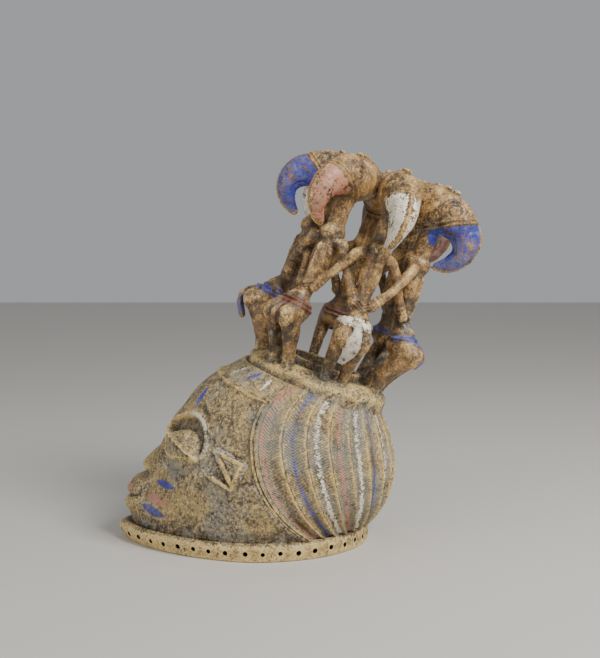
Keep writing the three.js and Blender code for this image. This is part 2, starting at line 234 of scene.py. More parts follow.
SHOULDER = (62, 9, 153)
ELBOW = (63, 29, 132)
WAIST_HOLD = (73, 9.5, 95)
ARM_RADII = (6.8, 6.6, 5.9, 5.2, 5.8)
ARM_LIFT = 3.6
BRACELET_PLACES = (0.42, 0.62)
BRACELET_RADIUS = 5.0
BRACELET_HALF = 1.4
HAND_LENGTH = 8.0
FINGER_WIDTH = 3.1
FINGER_CUT_HALF = 1.4
FINGER_CUT_DEPTH = 1.5
NECK_TOP = (60, 203)
FIGURE_HEIGHT = 250
HEAD_MIDDLE = (72, 0, 212)
# How far from their middles the carving of a head and of a belt reaches
HEAD_REACH = 66
BELT_REACH = 40
STRAP = [(90, 0, 73, 3.2, 2.4), (104, 0, 67, 3.4, 2.6), (112, 0, 57, 3.8, 2.6),
         (107, 0, 45, 4.2, 2.6)]
FLAP = [(90, 0, 73, 5, 2.6), (106, 0, 67, 5.5, 3), (115, 0, 58, 7, 3.6), (114, 0, 46, 7.5, 4.2),
        (107, 0, 33, 7, 4.2)]
LEAF = [(92, 0, 76, 5, 3.5), (105, 0, 70, 5, 3.5), (111, 0, 62, 6.5, 3.4), (112, -1, 52, 8.6, 3.4),
        (108, -2, 42, 8, 3.4), (104, -3, 34, 4.5, 3), (102, -3, 30, 2, 2)]
BELT_MIDDLE = (82, 72)
BELT_SLOPE = math.tan(math.radians(12.7))
BELT_HALF = 2.5
BELT_STAND = 1.9
BELT_PAINT_LEFT = 1.1

# Where the painted bill meets the skull: a plane that slopes down to the chin
BILL_START = (80, 215)
BILL_SLOPE = math.radians(-52)
BILL_BANDS = (2.8, 7.6)
BILL_BAND_STAND = 1.3
BILL_BAND_HALF = 1.7
CLOTH_PAINT_LEFT = 0.7
THROAT = (72, 0, 204, 13, 10)

# The ring of figures: degrees turned round from the front, degrees the head is
# tipped, how far the top leans out and the knees sway, the shift of the painted
# bill's start, its belts' heights, the height its cloth is painted up to, and the
# paints of its bill, its belts and its cloth. One has a painted throat as well
FIGURES = [
    {"turn": 0, "nod": 0, "lean": 0, "sway": 0, "cloth": FLAP, "start": -3, "belts": (-2.4, 2.4),
     "hem": 58, "beak": "blue", "belt": "blue", "end": "blue"},
    {"turn": 49, "nod": 3, "lean": 0, "sway": 0, "cloth": STRAP, "start": 2,
     "hem": 90, "belts": (-2.6, 2.6), "beak": "pink", "belt": "red", "end": "red"},
    {"turn": 103, "nod": 8, "lean": 0, "sway": -4.5, "cloth": LEAF, "start": 1,
     "hem": 72, "belts": (-3.4, 0.2, 3.6), "beak": "white", "belt": "white", "end": "kaolin"},
    {"turn": 163, "nod": 11, "lean": 14, "sway": 0, "cloth": STRAP, "start": 1, "belts": (0,),
     "hem": 90, "throat": THROAT, "beak": "blue", "belt": "blue", "end": "blue"},
    {"turn": 213, "nod": 8, "lean": 0, "sway": 2, "cloth": FLAP, "start": 0, "belts": (0,),
     "hem": 58, "beak": "red", "belt": "blue", "end": "blue"},
    {"turn": 268, "nod": 4, "lean": 2, "sway": 0, "cloth": STRAP, "start": 0,
     "hem": 90, "belts": (-2.6, 2.6), "beak": "red", "belt": "red", "end": "red"},
    {"turn": 315, "nod": 2, "lean": 0, "sway": 3, "cloth": LEAF, "start": 0,
     "hem": 72, "belts": (-3.4, 0.2, 3.6), "beak": "white", "belt": "white", "end": "kaolin"},
]

# Block that the shelf and figures are carved from, in the crown's axes: its corners,
# the most that empty room counts, and the closest that the surface comes to a point
BLOCK_LOW = (-132, -134, -26)
BLOCK_HIGH = (132, 134, 258)
FAR = 9.0
CLOSEST = 0.02

# What is joined to the head or cut from it, in order
JOINS = (("figures_form", "UNION"), ("hollow_form", "DIFFERENCE"), ("holes_form", "DIFFERENCE"))

# How far, in millimetres, a joined point may be from the head's own points and still
# take their values. It is further at the holes' height, this much up and down,
# where points lie further apart
ON_HEAD = 1.2
ON_HEAD_BY_HOLE = 3.6
HOLE_BAND = 4

# Heights in the crown's axes: a cut surface below this is the hollow's or a hole's
UNDER_CROWN = -13
# Where the figures' own finish starts, and where it is whole
FIGURE_ZONE = (3, 16)
# Height at which they have their usual tone, and how far up and down from that they grow paler
# above and darker below
FIGURE_TONE_MIDDLE = 120
FIGURE_TONE_SPAN = 80

# Paint distances are millimetres inside a painted shape, and below 0 outside it
PAINTS = ("blue", "pink", "red", "white")
UNPAINTED = -50.0

# What the wood's material reads beside the paints: how far the wood stands out in
# small and in whole forms, the zones, painted shade and grime (below 0, painted
# highlight), height up a figure, white clay and, on faces, the rim holes, painted dark as shade
FIELDS = ("wear_fine", "wear_broad", "hair", "figures", "rim", "shade_and_grime", "raised", "kaolin",
          "hole_shade")

# Patterns of the wood's skin: size in millimetres, detail, roughness, and a shift
# that keeps each apart from the rest. Smears a hand leaves are 50 to 10 mm wide.
# Grit, pores and flakes are under 0.5 mm, too fine to show from a step away, so
# specks and flecks are drawn 4 and 2 mm wide, with finer detail inside them
PATTERNS = {
    "patches": (52, 2, 0.5, 11.0),
    "mottle": (15, 4, 0.6, 2.0),
    "smear": (9, 4, 0.6, 3.0),
    "speck": (4.0, 6, 0.7, 5.0),
    "fleck": (2.0, 3, 0.6, 8.0),
}

# The most that a paint distance counts, so that flaking reaches the middle of a
# shape, and how much of the dust's colour is in faded paint
PAINT_THICKEST = 1.45
PAINT_DUST = 0.45

# Rounds of smoothing that wear is measured against, for edges and for whole forms,
# and the most it counts
WEAR_ROUNDS_FINE = 3
WEAR_ROUNDS_BROAD = 14
WEAR_MOST = 2.5

# Stage, in metres and degrees
FLOOR_HALF = 4.0
SKY = (0.80, 0.82, 0.85, 1)
SKY_STRENGTH = 0.46
LIGHT_AIM = (0, 0, 0.2)
KEY_PLACE = (0.9, 1.0, 1.5)
KEY_SIZE = 0.7
FILL_PLACE = (1.3, -1.3, 0.7)
FILL_SIZE = 1.2
CAMERA_PLACE = (1.296, 0.00484, 0.3716)
CAMERA_TURN = (84.6, 0, 90)
CAMERA_LENS = 60.18
CAMERA_SENSOR = 36.0


def linear(code):
    """A colour's sRGB hex code as linear red, green, blue and alpha."""
    parts = [int(code[i:i + 2], 16) / 255 for i in (1, 3, 5)]
    return [c / 12.92 if c <= 0.04045 else ((c + 0.055) / 1.055) ** 2.4 for c in parts] + [1.0]


def colour(name, code, description):
    """A colour that the user can change, with its default as a hex code."""
    return bpy.props.FloatVectorProperty(
        name=name, description=description, subtype="COLOR", size=4, min=0.0, max=1.0,
        default=linear(code))


class MASK_PG_head(bpy.types.PropertyGroup):
    """Sizes of the hollow head"""
    flutes: bpy.props.FloatProperty(
        name="Flutes a side", description="Hollow flutes of hair from the hairline to the back",
        default=8.5, min=3.5, max=12.5)
    wall: bpy.props.FloatProperty(
        name="Wall", description="Thickness of the hollow head's wall", subtype="DISTANCE",
        unit="LENGTH", default=0.011, min=0.006, max=0.02)
    holes: bpy.props.IntProperty(
        name="Rim holes", description="Holes for the costume's cord round the rim band",
        default=39, min=8, max=60)
    hole_radius: bpy.props.FloatProperty(
        name="Hole radius", description="Radius of a rim hole", subtype="DISTANCE", unit="LENGTH",
        default=0.0028, min=0.001, max=0.004)
    stroke: bpy.props.FloatProperty(
        name="Stroke depth", description="Depth of the slanting strokes cut in the hair",
        subtype="DISTANCE", unit="LENGTH", default=0.0007, min=0.0, max=0.002)
    eye: bpy.props.FloatProperty(
        name="Eye height", description="How far the eyelid's edge stands off the face",
        subtype="DISTANCE", unit="LENGTH", default=0.0125, min=0.004, max=0.02)


class MASK_PG_figures(bpy.types.PropertyGroup):
    """Sizes of the shelf and figures"""
    grain: bpy.props.FloatProperty(
        name="Carving step", description="Spacing of the points the figures are carved from",
        subtype="DISTANCE", unit="LENGTH", default=0.0011, min=0.0008, max=0.003)
    faces: bpy.props.IntProperty(
        name="Faces", description="Most triangles the shelf and its figures keep",
        default=74000, min=10000, max=95000)
    blend: bpy.props.FloatProperty(
        name="Softness", description="How softly limbs run into the body", subtype="DISTANCE",
        unit="LENGTH", default=0.0045, min=0.001, max=0.01)


class MASK_PG_colours(bpy.types.PropertyGroup):
    """Colours of the wood, its dirt and its paints"""
    # Soot is also the colour of painted shade: low on the head, round the eye and inside the rim
    # holes
    soot_and_shade: colour("Soot", "#282018", "Soot and dirt in pits and cuts")
    patina: colour("Patina", "#4f4435", "Dark skin of soot and handling on the wood")
    brown: colour("Brown", "#7f7159", "Rubbed grey-brown skin of the head")
    handled: colour("Handled brown", "#846747", "Warmer brown skin of the handled figures")
    rubbed: colour("Rubbed brown", "#b28a55", "Wood of the figures, rubbed by hands")
    dust: colour("Dust", "#949083", "Grey dust and dried clay wash over the skin")
    worn: colour("Worn wood", "#ba9c62", "Ochre-tan wood where the surface is rubbed bare")
    bright: colour("Bright wood", "#dfc587", "Pale wood on the sharpest edges")
    kaolin: colour("Kaolin", "#d6d0be", "White clay left in recesses")
    blue: colour("Blue", "#3543a4", "Laundry-blue paint")
    pink: colour("Pink", "#cc8466", "Salmon earth paint")
    red: colour("Red", "#733b2d", "Dark red earth paint")
    white: colour("White", "#fcf3dc", "White clay paint")


class MASK_PG_stage(bpy.types.PropertyGroup):
    """The floor's colour and the lights' power"""
    floor: colour("Floor", "#cfcac2", "Pale floor")
    key: bpy.props.FloatProperty(
        name="Key light", description="Power of the soft light from the upper right",
        subtype="POWER", default=38.0, min=0.0, max=300.0)
    fill: bpy.props.FloatProperty(
        name="Fill light", description="Power of the soft light from the left",
        subtype="POWER", default=9.0, min=0.0, max=300.0)


def along(values, share):
    """A value read smoothly from a list of equal steps."""
    values = np.asarray(values, float)
    place = np.clip(share, 0, 1) * (len(values) - 1)
    i = np.minimum(place.astype(int), len(values) - 2)
    t = place - i
    here, there = values[i], values[i + 1]
    rise = (there - values[np.maximum(i - 1, 0)]) / 2
    next_rise = (values[np.minimum(i + 2, len(values) - 1)] - here) / 2
    step = there - here
    return here + t * (rise + t * (3 * step - 2 * rise - next_rise
                                   + t * (rise + next_rise - 2 * step)))


def smooth(low, high, value):
    """0 below low, 1 above high, and a soft rise between."""
    t = np.clip((value - low) / (high - low), 0, 1)
    return t * t * (3 - 2 * t)


def bump(value):
    """A rounded ridge, 1 at 0 and nothing past 1 on either side."""
    return np.clip(1 - value * value, 0, 1) ** 1.5


def noise(points, size, seed):
    """Smooth noise from -1 to 1, with blobs about as wide as size."""
    table = np.random.default_rng(seed).uniform(-1, 1, 4096)
    cell = np.floor(points / size).astype(np.int64)
    part = points / size - cell
    part = part * part * (3 - 2 * part)
    total = np.zeros(points.shape[:-1])
    for corner in range(8):
        ahead = np.array([corner & 1, corner >> 1 & 1, corner >> 2])
        at = (cell + ahead) * np.array([73856093, 19349663, 83492791])
        weight = np.where(ahead == 1, part, 1 - part).prod(axis=-1)
        total += table[(at[..., 0] ^ at[..., 1] ^ at[..., 2]) & 4095] * weight
    return total


def plan(angle, front, back, widest, reach, sharp):
    """An egg-shaped plan, drawn to a point at the front as far as sharp says."""
    turn = np.cos(angle)
    ahead = turn > 0
    power = np.where(ahead, 2 - POINT_POWER * sharp, 2.0)
    root = np.where(ahead, 0.5 + sharp, 0.5)
    x = reach * np.sign(np.sin(angle)) * np.clip(1 - np.abs(turn) ** power, 0, None) ** root
    return x, widest - turn * np.where(ahead, widest - front, back - widest)


def head_point(angle, level, inset=0.0):
    """The head's surface at an angle round from the front and a level up it."""
    front = along(FRONT_Y, level) + inset
    back = along(BACK_Y, level) - inset
    x, y = plan(angle, front, back, along(WIDEST_Y, level), along(HALF_WIDTH, level) - inset,
                SHARP_FRONT * (1 - level))
    z = along(FRONT_Z, level) + (y - front) / (back - front) * (
        along(BACK_Z, level) - along(FRONT_Z, level))
    return np.stack([x, y + SHIFT_Y, z], axis=-1)


def flute_angle(place, level, flutes):
    """Angle of the line at a place among the flutes, 0 at the hairline."""
    foot, middle, top = [line + (BACK_MIDDLE - line) * place / flutes for line in HAIRLINE]
    return np.radians((1 - level) * (1 - 2 * level) * foot + 4 * level * (1 - level) * middle
                      + level * (2 * level - 1) * top)


class Patch:
    """The flat that touches the head at a place, for laying out face carving."""

    def __init__(self, degrees, level):
        """The flat at an angle round from the front, in degrees, and a level."""
        angle, level, small = math.radians(degrees), np.float64(level), 0.01
        self.middle = head_point(angle, level)
        back = head_point(angle + small, level) - head_point(angle - small, level)
        up = head_point(angle, level + small) - head_point(angle, level - small)
        out = np.cross(back, up)
        self.out = out / np.linalg.norm(out)
        self.back = back / np.linalg.norm(back)
        self.up = np.cross(self.out, self.back)

    def lay(self, points):
        """Millimetres toward the back, up and outward of the touching place."""
        off = points - self.middle
        return off @ self.back, off @ self.up, off @ self.out

    def lay_places(self, places):
        """Places on the head, as angle and level, laid out on the flat."""
        points = [head_point(math.radians(degrees), np.float64(min(level, 1.0)))
                  for degrees, level in places]
        return [self.lay(point)[:2] for point in points]


def line_distance(u, v, line):
    """Distance to a line of joined points."""
    nearest = np.full(u.shape, 1e9)
    for (ax, ay), (bx, by) in zip(line[:-1], line[1:]):
        dx, dy = bx - ax, by - ay
        t = np.clip(((u - ax) * dx + (v - ay) * dy) / (dx * dx + dy * dy), 0, 1)
        nearest = np.minimum(nearest, np.hypot(u - ax - t * dx, v - ay - t * dy))
    return nearest


def inside_ring(u, v, ring):
    """Whether a place is inside a closed line."""
    inside = np.zeros(u.shape, bool)
    for (ax, ay), (bx, by) in zip(ring, ring[1:] + ring[:1]):
        if ay == by:
            continue
        crosses = (ay > v) != (by > v)
        inside ^= crosses & (u < (bx - ax) * (v - ay) / (by - ay) + ax)
    return inside


def rounded(line, times=2):
    """A line with its corners cut soft."""
    for _ in range(times):
        cut = [line[0]]
        for (ax, ay), (bx, by) in zip(line[:-1], line[1:]):
            cut += [(0.75 * ax + 0.25 * bx, 0.75 * ay + 0.25 * by),
                    (0.25 * ax + 0.75 * bx, 0.25 * ay + 0.75 * by)]
        line = cut + [line[-1]]
    return line


def eye_relief(points, height):
    """The eye: a raised ring, a recess, and a lidded ball with a slit."""
    u, v, w = Patch(*EYE_PLACE).lay(points)
    near = (np.abs(u) < 62) & (np.abs(v) < 50) & (w > -45)
    ring = rounded(EYE_RING + EYE_RING[:1])
    top, edge, foot = rounded(LID_TOP), rounded(LID_EDGE), rounded(LID_FOOT)
    off_ring = np.where(inside_ring(u, v, ring[:-1]), -1, 1) * line_distance(u, v, ring)

    # The ring, highest at its upper front corner, with a moat inside and a faint
    # one outside it
    stand = 2.7 + 3.6 * smooth(-18, -34, u) * smooth(-8, 4, v) - 0.6 * smooth(0, -14, v)
    relief = stand * np.exp(-(np.maximum(off_ring, 0) / 5.0) ** 2) * np.exp(
        -(np.minimum(off_ring, 0) / 2.4) ** 2)
    relief -= 2.4 * smooth(-1.8, -5, off_ring)
    relief -= 0.8 * np.exp(-((off_ring - 9) / 3) ** 2)

    # The ball: two lids that rise from their outer lines to the slit between them
    to_top, to_edge, to_foot = [line_distance(u, v, line) for line in (top, edge, foot)]
    peak = height * np.clip(1 - ((u + 1) / 34) ** 2, 0, 1) ** 0.55
    upper = inside_ring(u, v, top + edge[::-1])
    lower = inside_ring(u, v, foot + edge[::-1])
    rise = to_top / np.maximum(to_top + to_edge, 1e-6)
    lid = -2.4 + (peak + 2.4) * np.sin(rise * math.pi / 2) ** 0.8
    fall = to_foot / np.maximum(to_foot + to_edge, 1e-6)
    lower_lid = 1.8 + (peak - 4.2) * np.sin(fall * math.pi / 2) ** 0.6
    slit = smooth(-1.4, 1.4, np.where(upper, to_edge, -to_edge))
    lids = lower_lid + (lid - lower_lid) * slit
    relief = np.where(upper & (off_ring < 0), np.maximum(lids, relief), relief)
    relief = np.where(lower & (off_ring < 0), np.maximum(lids, relief * 0.5), relief)
    relief += 3.2 * np.exp(-(to_foot / 2.0) ** 2) * smooth(35, 31, np.abs(u + 1))
    relief += 1.0 * np.exp(-(to_edge / 1.6) ** 2) * upper

    # White clay behind and over the ring, and in two spots under it
    clay = 0.65 * np.exp(-((off_ring - 1.8) / 3.4) ** 2) * smooth(-2, 12, u) * smooth(-14, -4, v)
    clay += 0.55 * np.exp(-((off_ring - 1.5) / 2.2) ** 2) * smooth(16, 26, v)
    clay += 0.6 * np.exp(-np.hypot((u - 46) / 11, (v + 20) / 9) ** 2)
    clay += 0.5 * np.exp(-np.hypot((u + 22) / 9, (v + 31) / 7) ** 2)

    # Painted shade in the recess and under the slit, and painted highlights, as values
    # below 0, along the upper lid's edge and on the ledge at the lower lid's foot
    shade_and_grime = 0.9 * smooth(-3, -6, off_ring) * ~upper * ~lower
    shade_and_grime += 0.9 * lower * np.exp(-(to_edge / 2.4) ** 2)
    shade_and_grime -= 0.8 * upper * np.exp(-(to_edge / 2.0) ** 2) + 1.4 * np.exp(-(to_foot / 3.0) ** 2)
    return np.where(near, relief, 0), {"clay": np.where(near, clay, 0.0),
                                       "shade_and_grime": np.where(near, shade_and_grime, 0.0)}


def nose_and_mouth_relief(points):
    """The nose with its wings, and the full lips on a swollen mouth."""
    x, z = np.abs(points[..., 0]), points[..., 2]
    front = points[..., 1] < -90
    # The mouth's line rises to its corners, and the profile is bent up along it
    parting = MOUTH_HEIGHT + 6 * (x / 27) ** 2
    shifted = z - (parting - MOUTH_HEIGHT) * smooth(72, 60, z)
    stand = np.interp(shifted, FACE_HEIGHTS, FACE_STANDS)
    reach = np.interp(z, REACH_HEIGHTS, REACHES)
    power = np.interp(z, [60, 72, 84, 100], [0.75, 0.6, 0.8, 1.3])
    relief = stand * np.clip(1 - (x / reach) ** 2, 0, 1) ** power
    wing = np.hypot((x - 22) / 9.5, (z - 87.5) / 6)
    relief += 3.2 * bump(wing)
    nostril = np.hypot((x - 13) / 5, (z - 82) / 2.6)
    relief -= 3.0 * bump(nostril)
    # Upper and lower lip, the cut between them, and the crease round the mouth
    lip_reach = np.sqrt(np.clip(1 - (x / 29) ** 2, 0, 1))
    relief += 1.3 * bump((z - parting - 8) / 6.5) * lip_reach
    relief += 1.2 * bump((z - parting + 7.5) / 6) * lip_reach
    relief -= 3.4 * np.exp(-((z - parting) / 1.5) ** 2) * lip_reach ** 0.6
    crease = line_distance(x, z, CREASE)
    relief -= 2.0 * np.exp(-(crease / 2.6) ** 2)
    lip_paint = 0.9 - np.hypot((x - 7) / 10, (z - 60) / 6.5)
    return (np.where(front, relief, 0), np.where(front, 1.4 * lip_paint, UNPAINTED),
            np.where(front, crease, 99.0))


def ear_relief(points):
    """The ear, a hooked line of raised bars, and the clay left round it."""
    patch = Patch(*EAR_PLACE)
    u, v, w = patch.lay(points)
    line = patch.lay_places(EAR_LINE)
    off = np.where(np.abs(w) < 25, line_distance(u, v, line), 99.0)
    relief = 4.4 * smooth(3.6, 1.7, off) - 1.2 * np.exp(-((off - 4.8) / 1.9) ** 2)
    above = smooth(-6, 8, v + 0.5 * u)
    return relief, np.exp(-((off - 4.6) / 1.9) ** 2) * (0.25 + 0.6 * above)


def lens(points, start, end, half_width):
    """Signed distance inside a mark pointed at both ends."""
    patch = Patch((start[0] + end[0]) / 2, (start[1] + end[1]) / 2)
    u, v, w = patch.lay(points)
    (ax, ay), (bx, by) = patch.lay_places([start, end])
    length = math.hypot(bx - ax, by - ay)
    dx, dy = (bx - ax) / length, (by - ay) / length
    t = ((u - ax) * dx + (v - ay) * dy) / length
    off = np.abs((v - ay) * dx - (u - ax) * dy)
    past = np.maximum(np.maximum(-t, t - 1), 0) * length
    mark = half_width * np.clip(1 - (2 * t - 1) ** 2, 0, 1) - off - past
    return np.where(np.abs(w) < 20, mark, UNPAINTED)


def face_shares(flutes):
    """Columns of the face, closer round the eye and mouth, up to the hairline."""
    level = np.float64(0.4)
    angles = np.linspace(0, flute_angle(0, level, flutes), 721)
    path = head_point(angles, np.full_like(angles, level))
    gone = np.concatenate([[0], np.cumsum(np.linalg.norm(np.diff(path, axis=0), axis=1))])
    weight = np.interp(np.degrees(angles), [0, 57, 61, 77, 80], [1.0, 1.0, 1.2, 1.2, 0.6])
    dense = np.concatenate([[0], np.cumsum(np.diff(gone) * weight[1:])])
    stop = np.interp(gone[-1] - COLUMNS_STOP, gone, dense)
    picks = np.interp(np.linspace(0, stop, FACE_COLUMNS), dense, angles)
    fillets = np.interp([gone[-1] - step for step in FILLET_STEPS], gone, angles)
    return np.concatenate([picks, fillets]) / angles[-1]


def carve_head(sizes):
    """Points, faces and paint distances of the head's closed outer form."""
    flutes = sizes.flutes
    share = face_shares(flutes)
    places = [i + step for i in range(math.ceil(flutes)) for step in FLUTE_STEPS]
    places = np.array([p for p in places if p <= flutes + 1e-6])
    share = np.concatenate([share, np.ones(len(places))])
    place = np.concatenate([np.zeros(len(share) - len(places)), places])
    face = np.arange(len(share)) < len(share) - len(places)
    across = place % 1.0

    rows = np.linspace(0, 1, HEAD_ROWS + 1)
    chevron = np.where(face, 0, 1 - np.abs(2 * across - 1))
    window = smooth(0, 0.14, rows) * smooth(1, 0.86, rows)
    level = rows[:, None] - STROKE_RISE * window[:, None] * chevron[None, :]
    angle = share[None, :] * flute_angle(place[None, :], level, flutes)
    base = head_point(angle, level)
    around = np.gradient(base, axis=1)
    up = np.gradient(base, axis=0)
    out = np.cross(around, up)
    out[:, 0, 0] = 0
    out[:, -1, 0] = 0
    out /= np.maximum(np.linalg.norm(out, axis=-1, keepdims=True), 1e-9)
    rise = np.linalg.norm(up, axis=-1) * HEAD_ROWS
    step = np.linalg.norm(np.diff(base, axis=1), axis=-1)
    gone = np.concatenate([np.zeros((len(rows), 1)), np.cumsum(step, axis=1)], axis=1)
    first = int(np.argmax(~face))
    from_hairline = gone[:, first:first + 1] - gone

    relief = np.zeros(level.shape)
    paint = {name: np.full(level.shape, UNPAINTED) for name in PAINTS}

    # Hair: hollow flutes, an incised line behind each crest, and slanting strokes
    depth = along(FLUTE_DEPTHS, level)
    hair = ~face[None, :] & np.ones(level.shape, bool)
    relief -= np.where(hair, depth * (1 - (2 * across - 1) ** 2), 0)
    incised = np.abs(across - CREST_LINE) < 0.01
    relief -= np.where(hair & incised, CREST_LINE_DEPTH * window[:, None], 0)
    zigzag = np.where(np.arange(len(rows)) % 2 == 0, 0.5, -0.5)[:, None]
    cut = np.where((across > STROKE_ACROSS[0]) & (across < STROKE_ACROSS[1]), 1.0, 0.0)
    relief += np.where(hair, sizes.stroke / MM * zigzag * cut * smooth(0.02, 0.05, level), 0)

    # Hairline and forehead band: a broad and a thin fillet side by side
    band = BAND_LEVELS[0] + (BAND_LEVELS[1] - BAND_LEVELS[0]) * share
    from_band = (level - band) * rise
    below = smooth(2.0, -1.0, from_band)
    fillet = sum(height * bump((from_hairline - at) / half)
                 for at, half, height in HAIRLINE_FILLETS)
    across_band = sum(height * bump((from_band - at) / half)
                      for at, half, height in BAND_FILLETS)
    relief += np.where(face, np.maximum(fillet * below * smooth(-0.005, 0.03, level),
                                        across_band), 0)
    panel = face & (from_band > PANEL_START)
    every_other = np.where(np.arange(len(share)) % 2 == 0, PANEL_LINES, -PANEL_LINES)
    relief += np.where(panel, every_other[None, :], 0)

    # Face: eye, nose, mouth and ear, and the painted marks cut in it
    eye, eye_marks = eye_relief(base, sizes.eye / MM)
    nose, lips, crease = nose_and_mouth_relief(base)
    ear, ear_clay = ear_relief(base)
    soft = face & (from_hairline > FACE_STOP)
    relief += np.where(soft, eye + nose + ear, 0)
    for name, start, end, half_width in LENS_MARKS:
        mark = lens(base, start, end, half_width)
        paint[name] = np.maximum(paint[name], np.minimum(mark, MARK_PAINT_LEFT))
        relief -= MARK_DEPTH * smooth(-0.4, 1.2, mark)
    for name, start, end, half_width in PANEL_STRIPES:
        stripe = lens(base, start, end, half_width)
        paint[name] = np.maximum(paint[name], np.where(panel, stripe, UNPAINTED))
    paint["pink"] = np.maximum(paint["pink"], lips)

    # Lines of paint in the flutes
    for i, (name, at, half_width) in enumerate(FLUTE_PAINT):
        own = ~face & (place >= i) & (place < i + 1)
        line = np.argmin(np.abs(np.where(own, place - i, 9) - at))
        off = np.abs(gone - gone[:, line:line + 1])
        stripe = np.minimum(half_width - off, FLUTE_PAINT_LEFT)
        paint[name] = np.maximum(paint[name], np.where(own & (level > 0.01), stripe, UNPAINTED))

    # White clay round the ear, the eye, along the hairline and in the crease, and
    # painted shade low down, most on the face, with the eye's painted shade and highlights
    kaolin = np.maximum(ear_clay, eye_marks["clay"])
    kaolin = np.maximum(kaolin, 0.8 * np.exp(-((from_hairline - 9.5) / 2.2) ** 2) * (level < 0.5))
    kaolin = np.maximum(kaolin, 0.6 * np.exp(-(crease / 2.4) ** 2))
    kaolin = np.where(face, kaolin * smooth(0.84, 0.8, level), 0)
    shade_and_grime = np.where(face, smooth(38, 23, base[..., 2]), 0.5 * smooth(34, 22, base[..., 2]))
    shade_and_grime += np.where(face, eye_marks["shade_and_grime"], 0)
    fields = {**paint, "kaolin": kaolin, "hair": hair | panel, "rim": np.zeros(level.shape),
              "shade_and_grime": shade_and_grime}
    return whole_head(*with_rim(base + out * relief[..., None], fields, angle[0]))


def with_rim(points, fields, angle):
    """The rim band's rows put under the head's, on the same columns."""
    rows = []
    for z, front, half, inset in RIM_ROWS:
        x, y = plan(angle, front + inset, RIM_BACK_Y - inset, RIM_WIDEST_Y, half - inset,
                    SHARP_FRONT)
        rows.append(np.stack([x, y + SHIFT_Y, np.full_like(x, z)], axis=-1))
    shape = (len(RIM_ROWS), len(angle))
    on_rim = {name: np.full(shape, UNPAINTED) for name in PAINTS}
    on_rim["kaolin"] = on_rim["hair"] = np.zeros(shape)
    on_rim["rim"] = np.ones(shape)
    # The groove's rows are drawn darker, the rest of the band not
    on_rim["shade_and_grime"] = np.where(RIM_ROWS_Z > RIM_GROOVE_Z, 1.0, 0.0)[:, None] + np.zeros(shape)
    return (np.concatenate([np.array(rows), points]),
            {name: np.concatenate([on_rim[name], value]) for name, value in fields.items()})


def in_box(points):
    """Points kept just inside the solid's box, with room for what thinning moves."""
    return np.clip(points, np.array(CAD_LOW) / MM + BOX_MARGIN,
                   np.array(CAD_HIGH) / MM - BOX_MARGIN)


def ring_faces(rows, columns):
    """Point numbers in rows of closed rings, and the faces between the rings."""
    grid = np.arange(rows * columns).reshape(rows, columns)
    ahead = np.roll(grid, -1, axis=1)
    quads = np.stack([grid[:-1], ahead[:-1], ahead[1:], grid[1:]], axis=-1).reshape(-1, 4)
    return grid, [tuple(quad) for quad in quads.tolist()]


def whole_head(points, fields):
    """Both sides of the head from one, closed below and above."""
    rows = points.shape[0]
    other = points[:, -2:0:-1] * np.array([-1, 1, 1])
    points = np.concatenate([points, other], axis=1)
    fields = {name: np.concatenate([value, value[:, -2:0:-1]], axis=1).astype(float)
              for name, value in fields.items()}
    columns = points.shape[1]
    flat = points.reshape(-1, 3)
    normals = np.cross(np.roll(points, -1, 1) - np.roll(points, 1, 1),
                       np.gradient(points, axis=0)).reshape(-1, 3)
    normals /= np.maximum(np.linalg.norm(normals, axis=1, keepdims=True), 1e-9)

    # Dents, knife cuts and nicks all over, fewer on the rim and none on its underside
    worked = (0.5 * noise(flat, *HEAD_DENTS) + 0.5 * (0.3 - np.abs(noise(flat, *HEAD_CUTS)))
              + 0.16 * noise(flat, *HEAD_NICKS))
    on_rim = fields["rim"].reshape(-1) > 0.5
    worked = np.where(on_rim, 0.6 * worked * (flat[:, 2] > 3) * (normals[:, 2] > -0.9), worked)
    flat = in_box(flat + normals * worked[:, None])

    grid, faces = ring_faces(rows, columns)
    bottom, top = len(flat), len(flat) + 1
    ends = np.array([flat[:columns].mean(axis=0), flat[-columns:].mean(axis=0)])
    ends[0][2] = 0
    faces += [(bottom, int(b), int(a)) for a, b in zip(grid[0], np.roll(grid[0], -1))]
    faces += [(top, int(a), int(b)) for a, b in zip(grid[-1], np.roll(grid[-1], -1))]
    flat[:columns, 2] = 0
    fields = {name: np.concatenate([value.reshape(-1), [value[0, 0], value[-1, 0]]])
              for name, value in fields.items()}
    return np.concatenate([flat, ends]), faces, fields


def hollow_form(wall):
    """The inside: follows the outside at the wall's thickness, closed in a dome."""
    share = np.linspace(0, 1, HOLLOW_ROWS + 1)[:, None]
    level = HOLLOW_TOP_LEVEL * np.sin(share * math.pi / 2) + np.zeros((1, HOLLOW_SIDES))
    angle = np.linspace(0, 2 * math.pi, HOLLOW_SIDES, endpoint=False)[None, :] + 0 * level
    points = head_point(angle, level, wall)
    middle = (head_point(0 * level, level) + head_point(0 * level + math.pi, level)) / 2
    closing = 1 - np.sqrt(1 - (HOLLOW_CLOSING * share) ** HOLLOW_SQUARENESS)
    points += (middle - points) * closing[..., None]
    points[..., 2] -= HOLLOW_TOP_DROP * share
    gouged = 0.7 * noise(points.reshape(-1, 3), *HOLLOW_GOUGES).reshape(level.shape)
    points += (points - middle) * (gouged / 100)[..., None]
    points[0, :, 2] = -1
    grid, faces = ring_faces(HOLLOW_ROWS + 1, HOLLOW_SIDES)
    faces.append(tuple(int(i) for i in grid[0][::-1]))
    faces.append(tuple(int(i) for i in grid[-1]))
    return points.reshape(-1, 3), faces


